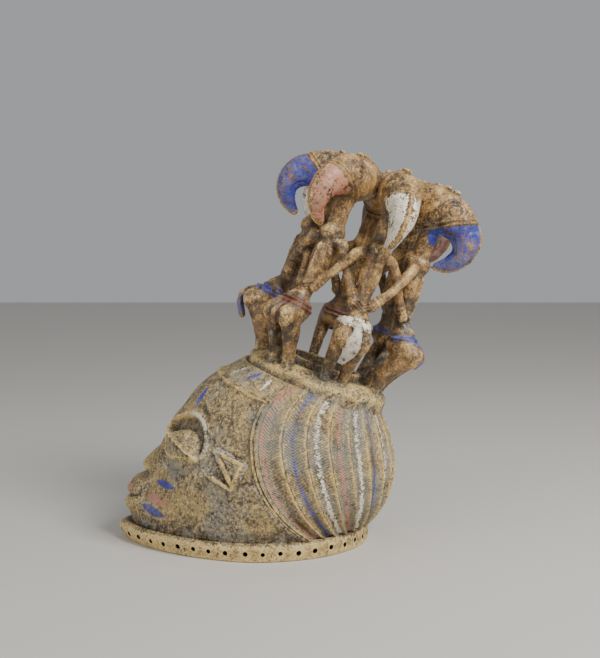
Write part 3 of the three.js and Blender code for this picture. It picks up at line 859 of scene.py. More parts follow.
def hole_forms(count, radius):
    """Round pegs for the cord holes, spaced a little unevenly round the rim."""
    spread = np.random.default_rng(HOLE_SEED)
    angle = np.linspace(0, 2 * math.pi, 1441)
    x, y = plan(angle, RIM_ROWS[0][1], RIM_BACK_Y, RIM_WIDEST_Y, RIM_ROWS[0][2], SHARP_FRONT)
    path = np.stack([x, y + SHIFT_Y], axis=-1)
    gone = np.concatenate([[0], np.cumsum(np.linalg.norm(np.diff(path, axis=0), axis=1))])
    points, faces = [], []
    for i in range(count):
        at = (i + 0.5) / count * gone[-1] + spread.uniform(-HOLE_SPREAD, HOLE_SPREAD)
        here = np.array([np.interp(at, gone, path[:, k]) for k in (0, 1)])
        there = np.array([np.interp(at + 1, gone, path[:, k]) for k in (0, 1)])
        run = (there - here) / np.linalg.norm(there - here)
        out = np.array([run[1], -run[0]])
        height = HOLE_HEIGHT + spread.uniform(-HOLE_RISE, HOLE_RISE)
        size = radius * spread.uniform(*HOLE_SHARES)
        first = len(points)
        for end in (-PEG_HALF, PEG_HALF):
            for k in range(HOLE_SIDES):
                turn = 2 * math.pi * k / HOLE_SIDES
                spot = here + out * end + run * size * math.cos(turn)
                points.append((spot[0], spot[1], height + size * math.sin(turn)))
        near = list(range(first, first + HOLE_SIDES))
        far = list(range(first + HOLE_SIDES, first + 2 * HOLE_SIDES))
        faces += [near[::-1], far]
        faces += zip(near, near[1:] + near[:1], far[1:] + far[:1], far)
    return np.array(points), faces


def new_object(name, points, faces):
    """An object with a mesh of the given points, in millimetres, and faces."""
    mesh = bpy.data.meshes.new(name)
    mesh.from_pydata((np.asarray(points) * MM).tolist(), [], [tuple(f) for f in faces])
    mesh.validate()
    made = bpy.data.objects.new(name, mesh)
    bpy.context.scene.collection.objects.link(made)
    return made


def apply_modifier(made, kind, **settings):
    """A modifier's result kept as the object's own mesh."""
    modifier = made.modifiers.new(kind, kind)
    for key, value in settings.items():
        setattr(modifier, key, value)
    shaped = bpy.data.meshes.new_from_object(
        made.evaluated_get(bpy.context.evaluated_depsgraph_get()))
    made.modifiers.clear()
    old = made.data
    made.data = shaped
    bpy.data.meshes.remove(old)


def remove(made):
    """Deletes an object and its mesh."""
    mesh = made.data
    bpy.data.objects.remove(made)
    bpy.data.meshes.remove(mesh)


def mesh_points(mesh):
    """A mesh's points as rows, in metres."""
    points = np.empty(len(mesh.vertices) * 3)
    mesh.vertices.foreach_get("co", points)
    return points.reshape(-1, 3)


def mesh_normals(mesh):
    """The way the mesh faces at each of its points."""
    normals = np.empty(len(mesh.vertices) * 3)
    mesh.vertex_normals.foreach_get("vector", normals)
    return normals.reshape(-1, 3)


def read_fields(mesh):
    """The values stored on a mesh's points, by name."""
    stored = {}
    for layer in mesh.attributes:
        if layer.data_type == "FLOAT" and layer.domain == "POINT":
            stored[layer.name] = np.empty(len(mesh.vertices), np.float32)
            layer.data.foreach_get("value", stored[layer.name])
    return stored


def write_field(mesh, name, values, domain="POINT"):
    """Stores a value for each point or face of a mesh, in place of older ones."""
    if name in mesh.attributes:
        mesh.attributes.remove(mesh.attributes[name])
    layer = mesh.attributes.new(name, "FLOAT", domain)
    layer.data.foreach_set("value", np.asarray(values, np.float32))


def rotated(a, b, angle):
    """Two coordinates turned by an angle, in radians, in their own flat."""
    c, s = math.cos(angle), math.sin(angle)
    return a * c - b * s, a * s + b * c


def on_crown(points, degrees):
    """Points of a figure turned to its place in the ring, in the crown's axes."""
    x, y = rotated(points[..., 0], points[..., 1], math.radians(degrees - 90))
    return np.stack([x, y, points[..., 2]], axis=-1)


def off_crown(points, degrees):
    """Points in the crown's axes read in a figure's own axes."""
    return on_crown(points, 180 - degrees)


def crown_to_world(points):
    """Points in the crown's sloping axes as points of the mask."""
    y, z = rotated(points[..., 1], points[..., 2], -CROWN_TILT)
    return np.stack([points[..., 0], y + CROWN_Y + SHIFT_Y, z + CROWN_Z], axis=-1)


def world_to_crown(points):
    """Points of the mask read in the crown's sloping axes."""
    y, z = rotated(points[..., 1] - CROWN_Y - SHIFT_Y, points[..., 2] - CROWN_Z, CROWN_TILT)
    return np.stack([points[..., 0], y, z], axis=-1)


def finer(stations, parts=3):
    """Stations of a limb with smooth ones added between."""
    share = np.linspace(0, 1, (len(stations) - 1) * parts + 1)
    return np.stack([along(column, share) for column in np.array(stations, float).T], axis=-1)


def mirrored(stations):
    """The same limb on the figure's other side."""
    return [(out, -over, *rest) for out, over, *rest in stations]


def nodded(stations, nod):
    """Bird head and beak, tipped down about the top of the neck."""
    angle = math.radians(nod)
    c, s = math.cos(angle), math.sin(angle)
    tipped = []
    for out, over, up, *rest in stations:
        du, dw = out - NECK_TOP[0], up - NECK_TOP[1]
        tipped.append((NECK_TOP[0] + du * c + dw * s, over, NECK_TOP[1] - du * s + dw * c, *rest))
    return tipped


def leant(stations, lean):
    """Stations moved outward, more the higher they are."""
    return [(out + lean * (up / FIGURE_HEIGHT) ** 2, over, up, *rest)
            for out, over, up, *rest in stations]


def swayed(stations, sway):
    """Knees and cloth shifted to one side, less toward the feet."""
    return [(out, over + sway * min(max(up / 50, 0), 1), up, *rest)
            for out, over, up, *rest in stations]


def upright(points, figure):
    """Points in a figure's own axes, with its lean and its head's nod taken out."""
    own = off_crown(points, figure["turn"])
    angle = math.radians(figure["nod"])
    c, s = math.cos(angle), math.sin(angle)
    du = own[..., 0] - figure["lean"] * (own[..., 2] / FIGURE_HEIGHT) ** 2 - NECK_TOP[0]
    dw = own[..., 2] - NECK_TOP[1]
    return NECK_TOP[0] + du * c - dw * s, own[..., 1], NECK_TOP[1] + du * s + dw * c


def bill_ahead(out, up, figure):
    """How far past the start of the painted bill a place on the head is."""
    return ((out - BILL_START[0]) * math.cos(BILL_SLOPE)
            + (up - BILL_START[1]) * math.sin(BILL_SLOPE) - figure["start"])


def belt_height(points, figure):
    """Height over the belt's middle line, which slopes up to the front."""
    own = off_crown(points, figure["turn"])
    return (own[..., 2] - BELT_MIDDLE[1] - (own[..., 0] - BELT_MIDDLE[0]) * BELT_SLOPE,
            smooth(24, 21, np.abs(own[..., 1])) * smooth(54, 60, own[..., 0])
            * smooth(112, 106, own[..., 0]))


class Block:
    """A block of wood on the crown, as distances to the carved surface."""

    def __init__(self, low, high, step):
        """An empty block between two corners, with points a step apart."""
        self.low = np.array(low, float)
        self.step = step
        counts = np.ceil((np.array(high) - self.low) / step).astype(int) + 1
        self.distance = np.full(counts, FAR, np.float32)

    def part(self, low, high):
        """The part of the block between two corners, and its points."""
        first = np.maximum(np.floor((low - self.low) / self.step).astype(int), 0)
        last = np.minimum(np.ceil((high - self.low) / self.step).astype(int) + 1,
                          self.distance.shape)
        axes = [self.low[k] + self.step * np.arange(first[k], last[k]) for k in range(3)]
        grid = np.stack(np.meshgrid(*axes, indexing="ij"), axis=-1).astype(np.float32)
        return tuple(slice(a, b) for a, b in zip(first, last)), grid

    def add(self, where, distance, blend):
        """Joins a form, running softly into what is there."""
        old = self.distance[where]
        meet = np.clip(0.5 + 0.5 * (old - distance) / blend, 0, 1)
        self.distance[where] = old + (distance - old) * meet - blend * meet * (1 - meet)

    def raise_by(self, where, height):
        """Moves the carved surface outward, or inward where the height is below 0."""
        self.distance[where] -= height.astype(np.float32)

    def limb(self, stations, degrees, blend, parts=3, wide=None):
        """A limb of oval sections along stations in a figure's axes. Its half widths
        lie across the figure, unless another way is given as wide."""
        stations = finer(stations, parts)
        spine = on_crown(stations[:, :3], degrees)
        wide = on_crown(np.array([0, 1, 0]) if wide is None else wide, degrees)
        reach = stations[:, 3:].max() + blend + 2 * self.step
        where, grid = self.part(spine.min(axis=0) - reach, spine.max(axis=0) + reach)
        result = np.full(grid.shape[:3], FAR, np.float32)
        for i in range(len(spine) - 1):
            start, run = spine[i], spine[i + 1] - spine[i]
            length = np.linalg.norm(run)
            run = run / length
            side = wide - run * (wide @ run)
            side /= np.linalg.norm(side)
            deep = np.cross(run, side)
            near = stations[i:i + 2, 3:].max() + blend + 2 * self.step
            low = np.minimum(spine[i], spine[i + 1]) - near
            high = np.maximum(spine[i], spine[i + 1]) + near
            origin = grid[0, 0, 0]
            first = np.maximum(np.floor((low - origin) / self.step).astype(int), 0)
            last = np.ceil((high - origin) / self.step).astype(int) + 1
            box = tuple(slice(a, b) for a, b in zip(first, last))
            off = grid[box] - start.astype(np.float32)
            ahead = off @ run.astype(np.float32)
            t = np.clip(ahead / length, 0, 1)
            past = ahead - t * length
            a = stations[i, 3] + (stations[i + 1, 3] - stations[i, 3]) * t
            b = stations[i, 4] + (stations[i + 1, 4] - stations[i, 4]) * t
            u, v = off @ side.astype(np.float32), off @ deep.astype(np.float32)
            # Near enough the distance to an oval ball: how far out in its own
            # size, over how steeply that grows
            c = np.minimum(a, b)
            k = np.sqrt((u / a) ** 2 + (v / b) ** 2 + (past / c) ** 2)
            steep = np.sqrt((u / a ** 2) ** 2 + (v / b ** 2) ** 2 + (past / c ** 2) ** 2)
            distance = np.where(steep > 1e-6, k * (k - 1) / np.maximum(steep, 1e-6), -c)
            result[box] = np.minimum(result[box], distance)
        self.add(where, result, blend)

    def surface(self):
        """Points and four-sided faces of the carved surface."""
        field = self.distance
        solid = field < 0
        # Fill squares whose wood meets at a corner only, so that no edge of the
        # surface is shared by four faces
        for _ in range(6):
            changed = False
            for a, b in ((0, 1), (0, 2), (1, 2)):
                s = np.moveaxis(solid, (a, b), (0, 1))
                p, q, r, t = s[:-1, :-1], s[1:, 1:], s[1:, :-1], s[:-1, 1:]
                bad = (p & q & ~r & ~t) | (r & t & ~p & ~q)
                if bad.any():
                    changed = True
                    p |= bad
                    q |= bad
                    r |= bad
                    t |= bad
            if not changed:
                break
        field = np.where(solid, np.minimum(field, -CLOSEST), np.maximum(field, CLOSEST))

        # One point in each cell that the surface runs through, at the mean of where
        # it crosses the cell's edges
        cells = [n - 1 for n in solid.shape]
        corners = [(i, j, k) for i in (0, 1) for j in (0, 1) for k in (0, 1)]

        def corner(values, c):
            """Each cell's value at one of its eight corners."""
            return values[c[0]:c[0] + cells[0], c[1]:c[1] + cells[1], c[2]:c[2] + cells[2]]

        count = sum(corner(solid, c).astype(np.int8) for c in corners)
        active = (count > 0) & (count < 8)
        at = np.argwhere(active)
        number = np.full(active.shape, -1, np.int32)
        number[active] = np.arange(len(at))
        total = np.zeros((len(at), 3))
        crossings = np.zeros(len(at))
        for c in corners:
            for axis in range(3):
                if c[axis]:
                    continue
                d = list(c)
                d[axis] = 1
                f0 = field[at[:, 0] + c[0], at[:, 1] + c[1], at[:, 2] + c[2]]
                f1 = field[at[:, 0] + d[0], at[:, 1] + d[1], at[:, 2] + d[2]]
                hit = (f0 < 0) != (f1 < 0)
                share = np.where(hit, f0 / np.where(hit, f0 - f1, 1), 0)
                spot = at + np.array(c, float)
                spot[:, axis] += share
                total += np.where(hit[:, None], spot, 0)
                crossings += hit
        points = self.low + self.step * total / crossings[:, None]

        # One face across each edge that the surface crosses
        faces = []
        for axis in range(3):
            b, c = [(1, 2), (2, 0), (0, 1)][axis]
            s = np.moveaxis(solid, (axis, b, c), (0, 1, 2))
            n = np.moveaxis(number, (axis, b, c), (0, 1, 2))
            here, there = s[:-1, 1:-1, 1:-1], s[1:, 1:-1, 1:-1]
            crossing = np.argwhere(here != there)
            i, j, k = crossing.T
            quad = np.stack([n[i, j, k], n[i, j + 1, k], n[i, j + 1, k + 1], n[i, j, k + 1]],
                            axis=-1)
            out = here[i, j, k]
            faces.append(np.where(out[:, None], quad, quad[:, ::-1]))
        return points, np.concatenate(faces)


def carve_figure(block, figure, blend):
    """One kneeling bird-headed figure, with its belt, cloth and beak."""
    turn, lean, nod, sway = [figure[key] for key in ("turn", "lean", "nod", "sway")]

    def limb(stations, soft, parts=3, tipped=False):
        """A limb that leans with the figure, and nods if it is part of the head."""
        if tipped:
            stations = nodded(stations, nod)
        block.limb(leant(stations, lean), turn, soft, parts)

    limb(TRUNK, blend * 0.6)
    for leg in (THIGH, SHIN, mirrored(THIGH), mirrored(SHIN)):
        limb(swayed(leg, sway), blend * 0.6)
    limb(CHEST_RIDGE, 3.4)
    limb(COLLAR, 2.0, 1)
    for cap in (SHOULDER_CAP, mirrored(SHOULDER_CAP)):
        limb(cap, blend * 0.7)
    limb(SKULL, blend * 0.7, tipped=True)
    limb(BEAK, 1.6, tipped=True)
    for out, up in CREST_KNOBS:
        limb([(out, 0, up, 4.2, 2.8), (out + 4.0, 0, up + 0.8, 3.8, 2.4)], 1.0, 1, tipped=True)
    carve_bird_head(block, figure)
    limb(swayed(figure["cloth"], sway), 1.2, 3)
    middle = on_crown(np.array([BELT_MIDDLE[0], 0, BELT_MIDDLE[1]]), turn)
    where, grid = block.part(middle - BELT_REACH, middle + BELT_REACH)
    height, window = belt_height(grid, figure)
    for offset in figure["belts"]:
        block.raise_by(where, BELT_STAND * bump((height - offset) / BELT_HALF) * window)


def carve_bird_head(block, figure):
    """The twin bands behind the bill, the eyes in cut arcs, and the bill's ridge."""
    middle = on_crown(np.array(leant([HEAD_MIDDLE], figure["lean"])[0]), figure["turn"])
    where, grid = block.part(middle - HEAD_REACH, middle + HEAD_REACH)
    out, over, up = upright(grid, figure)
    over = np.abs(over)
    ahead = bill_ahead(out, up, figure)
    own = smooth(27, 24, over) * smooth(191, 196, up) * smooth(4, 8, out)
    height = sum(BILL_BAND_STAND * bump((ahead + band) / BILL_BAND_HALF)
                 for band in BILL_BANDS) * own
    # Eye: a dimple in cut rings, of which the outer ones run over it, like brows
    off_eye = np.hypot(out - EYE_MIDDLE[0] + EYE_SET_BACK, up - EYE_MIDDLE[1])
    over_eye = smooth(-5, 1, up - EYE_MIDDLE[1] + 0.25 * (EYE_MIDDLE[0] - out))
    eye = -0.5 * bump(off_eye / EYE_DIMPLE)
    for radius, depth, brow in EYE_CUTS:
        ring = np.exp(-((off_eye - radius) / EYE_CUT_HALF) ** 2)
        eye = eye - depth * (over_eye if brow else 1) * ring
    height += smooth(8, 11, over) * own * eye * smooth(-8.2, -9.4, ahead - 0.4)
    # The bill's worn upper edge, and the line where it closes
    hook = np.hypot(out - HOOK_MIDDLE[0], up - HOOK_MIDDLE[1])
    bill = smooth(0, 2, ahead) * smooth(27, 24, over) * smooth(150, 154, up)
    height += bill * 1.4 * bump(over / 3.2) * smooth(HOOK_RADIUS - 2, HOOK_RADIUS + 1, hook)
    closing = hook - CLOSING_RADIUS + 0.02 * (up - 190) ** 2 * (up > 190)
    height -= bill * 0.9 * np.exp(-(closing / 0.9) ** 2) * smooth(3, 5, over) * (up < 212)
    block.raise_by(where, height)


def carve_hand(block, wrist, run, out):
    """A flat hand laid on a neighbour's waist, cut into four fingers."""
    run = run - out * (run @ out)
    run /= np.linalg.norm(run)
    over = np.cross(run, out)
    tip = wrist + run * HAND_LENGTH - out
    block.limb([(*(wrist - run * 3), 6.0, 5.0), (*tip, 5.8, 3.6)], 90, 0.9, 2, wide=over)
    where, grid = block.part(wrist - 2 * HAND_LENGTH, wrist + 2 * HAND_LENGTH)
    off = grid - wrist.astype(np.float32)
    ahead, across, stand = off @ run, off @ over, off @ out
    window = (smooth(-1, 2, ahead) * smooth(HAND_LENGTH + 6, HAND_LENGTH + 3, ahead)
              * smooth(-3, -1, stand))
    cuts = sum(bump((across - at) / FINGER_CUT_HALF) for at in (-FINGER_WIDTH, 0, FINGER_WIDTH))
    block.raise_by(where, -FINGER_CUT_DEPTH * cuts * window)


def carve_bracelet(block, middle, run):
    """A ring round an arm."""
    side = np.cross(run, [0, 0, 1])
    side /= np.linalg.norm(side)
    other = np.cross(run, side)
    ring = [(*(middle + BRACELET_RADIUS * (side * math.cos(a) + other * math.sin(a))),
             BRACELET_HALF, BRACELET_HALF) for a in np.linspace(0, 2 * math.pi, 11)]
    block.limb(ring, 90, 0.8, 1)


def carve_arms(block, blend):
    """Arms that cross between neighbours, each holding the next one's waist."""
    def placed(spot, figure, side):
        """A spot on one side of a figure, in the crown's axes."""
        out, over, up = spot
        out += figure["lean"] * (up / FIGURE_HEIGHT) ** 2
        return on_crown(np.array([out, side * over, up]), figure["turn"])

    for near, far in zip(FIGURES, FIGURES[1:] + FIGURES[:1]):
        cross = (placed(ELBOW, near, 1) + placed(ELBOW, far, -1)) / 2
        outward = np.array([cross[0], cross[1], 0]) / np.hypot(cross[0], cross[1])
        # One arm passes behind where the two cross, and the other in front of it
        for start, end, side, lift in ((near, far, 1, -ARM_LIFT), (far, near, -1, ARM_LIFT)):
            shoulder = placed(SHOULDER, start, side)
            elbow = cross + outward * lift
            wrist = placed(WAIST_HOLD, end, -side)
            upper = (shoulder + elbow) / 2 + outward * (lift * 0.5 + 1.5) + [0, 0, 5.5]
            lower = (elbow + wrist) / 2 + outward * (lift * 0.5 + 1.0)
            path = zip((shoulder, upper, elbow, lower, wrist), ARM_RADII)
            block.limb([(*spot, r, r) for spot, r in path], 90, blend * 0.45, 3)
            run = (wrist - lower) / np.linalg.norm(wrist - lower)
            around = on_crown(np.array([0, float(side), 0]), end["turn"])
            out = on_crown(np.array([1.0, 0, 0]), end["turn"])
            carve_hand(block, wrist, run + around, out)
            for share in BRACELET_PLACES:
                carve_bracelet(block, lower + (wrist - lower) * share, run)


def carve_shelf(block):
    """The round shelf, rounded down to its uneven lip, and the low wall on it."""
    where, grid = block.part(np.array([-98.0, -98, -26]), np.array([98.0, 98, 18]))
    x, y, z = grid[..., 0], grid[..., 1] - SHELF_SHIFT, grid[..., 2]
    angle = np.arctan2(y, x)
    # Unevenness of the lip, in plan and in height
    wave = (0.9 * np.sin(5 * angle + 0.6) + 0.8 * np.sin(11 * angle + 2.1)
            + 0.5 * np.sin(19 * angle + 4.0))
    lift = 0.7 * np.sin(4 * angle + 1.0) + 0.6 * np.sin(9 * angle) + 0.5 * np.sin(16 * angle)
    flat = np.hypot(x / SHELF_HALF[0], y / SHELF_HALF[1]) * SHELF_HALF[1]
    radii, heights = zip(*SHELF_PROFILE)
    top = z - np.interp(flat, radii, heights) - lift * smooth(58, 80, flat)
    radial = flat - SHELF_HALF[1] + 0.6 * smooth(-7, -12, z) - wave
    disc = np.maximum(np.maximum(0.85 * top, radial), SHELF_FOOT - z)
    block.add(where, disc.astype(np.float32), 0.8)
    wall = np.maximum(np.abs(flat - WALL_RADIUS) - WALL_HALF, np.abs(z - WALL_TOP / 2)
                      - WALL_TOP / 2)
    block.add(where, wall.astype(np.float32), 1.2)


class MASK_OT_head(bpy.types.Operator):
    """Carve the hollow head: rim band with its holes, face, hairline and fluted hair"""
    bl_idname = "mask.carve_head"
    bl_label = "Carve head"

    def execute(self, context):
        sizes = context.scene.mask_head
        points, faces, fields = carve_head(sizes)
        head = new_object("head_form", points, faces)
        for name, values in fields.items():
            write_field(head.data, name, values)
        new_object("hollow_form", *hollow_form(sizes.wall / MM))
        new_object("holes_form", *hole_forms(sizes.holes, sizes.hole_radius / MM))
        return {"FINISHED"}


class MASK_OT_figures(bpy.types.Operator):
    """Carve the crown's shelf and the ring of bird-headed figures with crossed arms"""
    bl_idname = "mask.carve_figures"
    bl_label = "Carve shelf and figures"

    def execute(self, context):
        sizes = context.scene.mask_figures
        block = Block(BLOCK_LOW, BLOCK_HIGH, sizes.grain / MM)
        carve_shelf(block)
        for figure in FIGURES:
            carve_figure(block, figure, sizes.blend / MM)
        carve_arms(block, sizes.blend / MM)
        points, faces = block.surface()
        if not len(faces):
            raise RuntimeError("the shelf and figures came out empty")
        made = new_object("figures_form", crown_to_world(points), faces.tolist())
        spots = mesh_points(made.data) / MM
        normals = mesh_normals(made.data)
        worked = (0.9 * (0.3 - np.abs(noise(spots, *FIGURE_CUTS)))
                  + 0.5 * (0.3 - np.abs(noise(spots, *FIGURE_NICKS))))
        worked *= 0.45 + 0.55 * smooth(6, 16, world_to_crown(spots)[:, 2])
        spots = in_box(spots + normals * worked[:, None])
        made.data.vertices.foreach_set("co", (spots * MM).reshape(-1))
        made.data.update()
        apply_modifier(made, "TRIANGULATE")
        apply_modifier(made, "DECIMATE", ratio=sizes.faces / len(made.data.polygons))
        return {"FINISHED"}


def figure_paint(figure, points):
    """Signed distances inside the painted beak, belt and cloth of a figure."""
    lean, nod = figure["lean"], figure["nod"]
    spots = off_crown(points, figure["turn"])

    def spine_distance(stations, pad):
        """How deep each point is inside a limb made thicker by a pad."""
        stations = finer(stations, 4)
        best = np.full(len(spots), -99.0)
        for a, b in zip(stations[:-1], stations[1:]):
            run = b[:3] - a[:3]
            t = np.clip(((spots - a[:3]) @ run) / (run @ run), 0, 1)
            size = np.maximum(a[3:].max() + (b[3:].max() - a[3:].max()) * t, 0.1)
            gap = np.linalg.norm(spots - a[:3] - t[:, None] * run, axis=1)
            best = np.maximum(best, size + pad - gap)
        return best

    # The bill's upper edge is left bare
    out, over, up = upright(points, figure)
    hook = np.hypot(out - HOOK_MIDDLE[0], up - HOOK_MIDDLE[1])
    edge = np.minimum(3.0 - np.abs(over), hook - HOOK_RADIUS)
    bill = spine_distance(leant(nodded(BEAK, nod), lean), 3.5)
    if "throat" in figure:
        throat = leant(nodded([figure["throat"], BEAK[0]], nod), lean)
        bill = np.maximum(bill, spine_distance(throat, 6.0))
    cloth = swayed(figure["cloth"], figure["sway"])
    hang = np.minimum(spine_distance(leant(cloth, lean), 0.2), figure["hem"] - spots[:, 2])
    height, window = belt_height(points, figure)
    gaps = [np.abs(height - offset) for offset in figure["belts"]]
    belt = BELT_HALF + 0.2 - np.min(gaps, axis=0)
    return {"beak": np.minimum(np.minimum(bill, bill_ahead(out, up, figure)), -edge),
            "belt": np.where(window > 0.3, np.minimum(belt, BELT_PAINT_LEFT), UNPAINTED),
            "end": np.minimum(np.minimum(hang, spots[:, 0] - 88), CLOTH_PAINT_LEFT)}


def figure_fields(points):
    """Paint distances on the figures for points in the mask's own axes."""
    crown = world_to_crown(points)
    fields = {name: np.full(len(points), UNPAINTED) for name in (*PAINTS, "kaolin")}
    angle = np.degrees(np.arctan2(crown[:, 0], -crown[:, 1])) % 360
    for figure in FIGURES:
        gap = np.abs((angle - figure["turn"] + 180) % 360 - 180)
        near = (gap < 45) & (crown[:, 2] > 8)
        for part, distance in figure_paint(figure, crown[near]).items():
            name = figure[part]
            fields[name][near] = np.maximum(fields[name][near], distance)
    fields["kaolin"] = 0.95 * smooth(-0.6, CLOTH_PAINT_LEFT, fields["kaolin"])
    return fields


def neighbour_mean(values, edges, counts):
    """The mean of each point's neighbours."""
    total = np.zeros_like(values)
    np.add.at(total, edges[:, 0], values[edges[:, 1]])
    np.add.at(total, edges[:, 1], values[edges[:, 0]])
    return total / counts[:, None]


def wear_of(mesh):
    """How far each point stands out of its smoothed surroundings, in millimetres."""
    points = mesh_points(mesh) / MM
    edges = np.empty(len(mesh.edges) * 2, np.int64)
    mesh.edges.foreach_get("vertices", edges)
    edges = edges.reshape(-1, 2)
    counts = np.maximum(np.bincount(edges.reshape(-1), minlength=len(points)), 1)
    normals = mesh_normals(mesh)
    smoothed = [points]
    for _ in range(WEAR_ROUNDS_BROAD):
        smoothed.append(neighbour_mean(smoothed[-1], edges, counts))
    return [((points - smoothed[rounds]) * normals).sum(axis=1)
            for rounds in (WEAR_ROUNDS_FINE, WEAR_ROUNDS_BROAD)]


def evened(values, fields):
    """Wear measured against what is usual on the head, the hair and the figures."""
    result = np.zeros(len(values))
    zones = (fields["figures"] > 0.5) + 2 * (fields["hair"] > 0.5)
    for zone in np.unique(zones):
        own = zones == zone
        # These shares are one standard deviation to each side
        low, middle, high = np.percentile(values[own], (16, 50, 84))
        result[own] = (values[own] - middle) / max((high - low) / 2, 0.02)
    return np.clip(result, -WEAR_MOST, WEAR_MOST)


def nearest_of(old, points):
    """For each point the number of the nearest old one, and how far off that is."""
    tree = KDTree(len(old))
    for i, point in enumerate(old):
        tree.insert(point, i)
    tree.balance()
    found = [tree.find(point) for point in points]
    return np.array([number for _, number, _ in found]), np.array([gap for *_, gap in found])


def joined_fields(mesh, old_points, stored):
    """What the wood's material reads on the joined mask: values for its points, from
    the head's own points and the figures, and which faces are in a rim hole."""
    points = mesh_points(mesh)
    nearest, gap = nearest_of(old_points, points)
    points /= MM
    by_hole = np.abs(points[:, 2] - HOLE_HEIGHT) < HOLE_BAND
    on_head = gap / MM < np.where(by_hole, ON_HEAD_BY_HOLE, ON_HEAD)
    fields = {name: np.where(on_head, values[nearest], 0) for name, values in stored.items()}
    for name, values in figure_fields(points).items():
        fields[name] = np.where(on_head, fields[name], values)
    up = world_to_crown(points)[:, 2]
    above = up > UNDER_CROWN
    fields["figures"] = (above & ~on_head) * smooth(*FIGURE_ZONE, up)
    fine, broad = wear_of(mesh)
    fields["wear_fine"] = evened(fine, fields)
    fields["wear_broad"] = evened(broad, fields)
    fields["raised"] = fields["figures"] * np.clip((up - FIGURE_TONE_MIDDLE) / FIGURE_TONE_SPAN, -1, 1)

    corners = np.empty(len(mesh.loops), np.int64)
    mesh.loops.foreach_get("vertex_index", corners)
    # Faces inside a rim hole, which the material paints dark as shade
    bored = (~on_head & ~above & by_hole)[corners].reshape(-1, 3).any(axis=1)
    return fields, bored


def new_material(name):
    """A material with no nodes yet."""
    material = bpy.data.materials.new(name)
    material.use_nodes = True
    material.node_tree.nodes.clear()
    return material


def add_node(material, kind, settings=None, links=None):
    """A node with its settings, and what its sockets are linked to or set at."""
    tree = material.node_tree
    node = tree.nodes.new(kind)
    for key, value in (settings or {}).items():
        setattr(node, key, value)
    for key, value in (links or {}).items():
        if isinstance(value, bpy.types.NodeSocket):
            tree.links.new(value, node.inputs[key])
        else:
            node.inputs[key].default_value = value
    return node


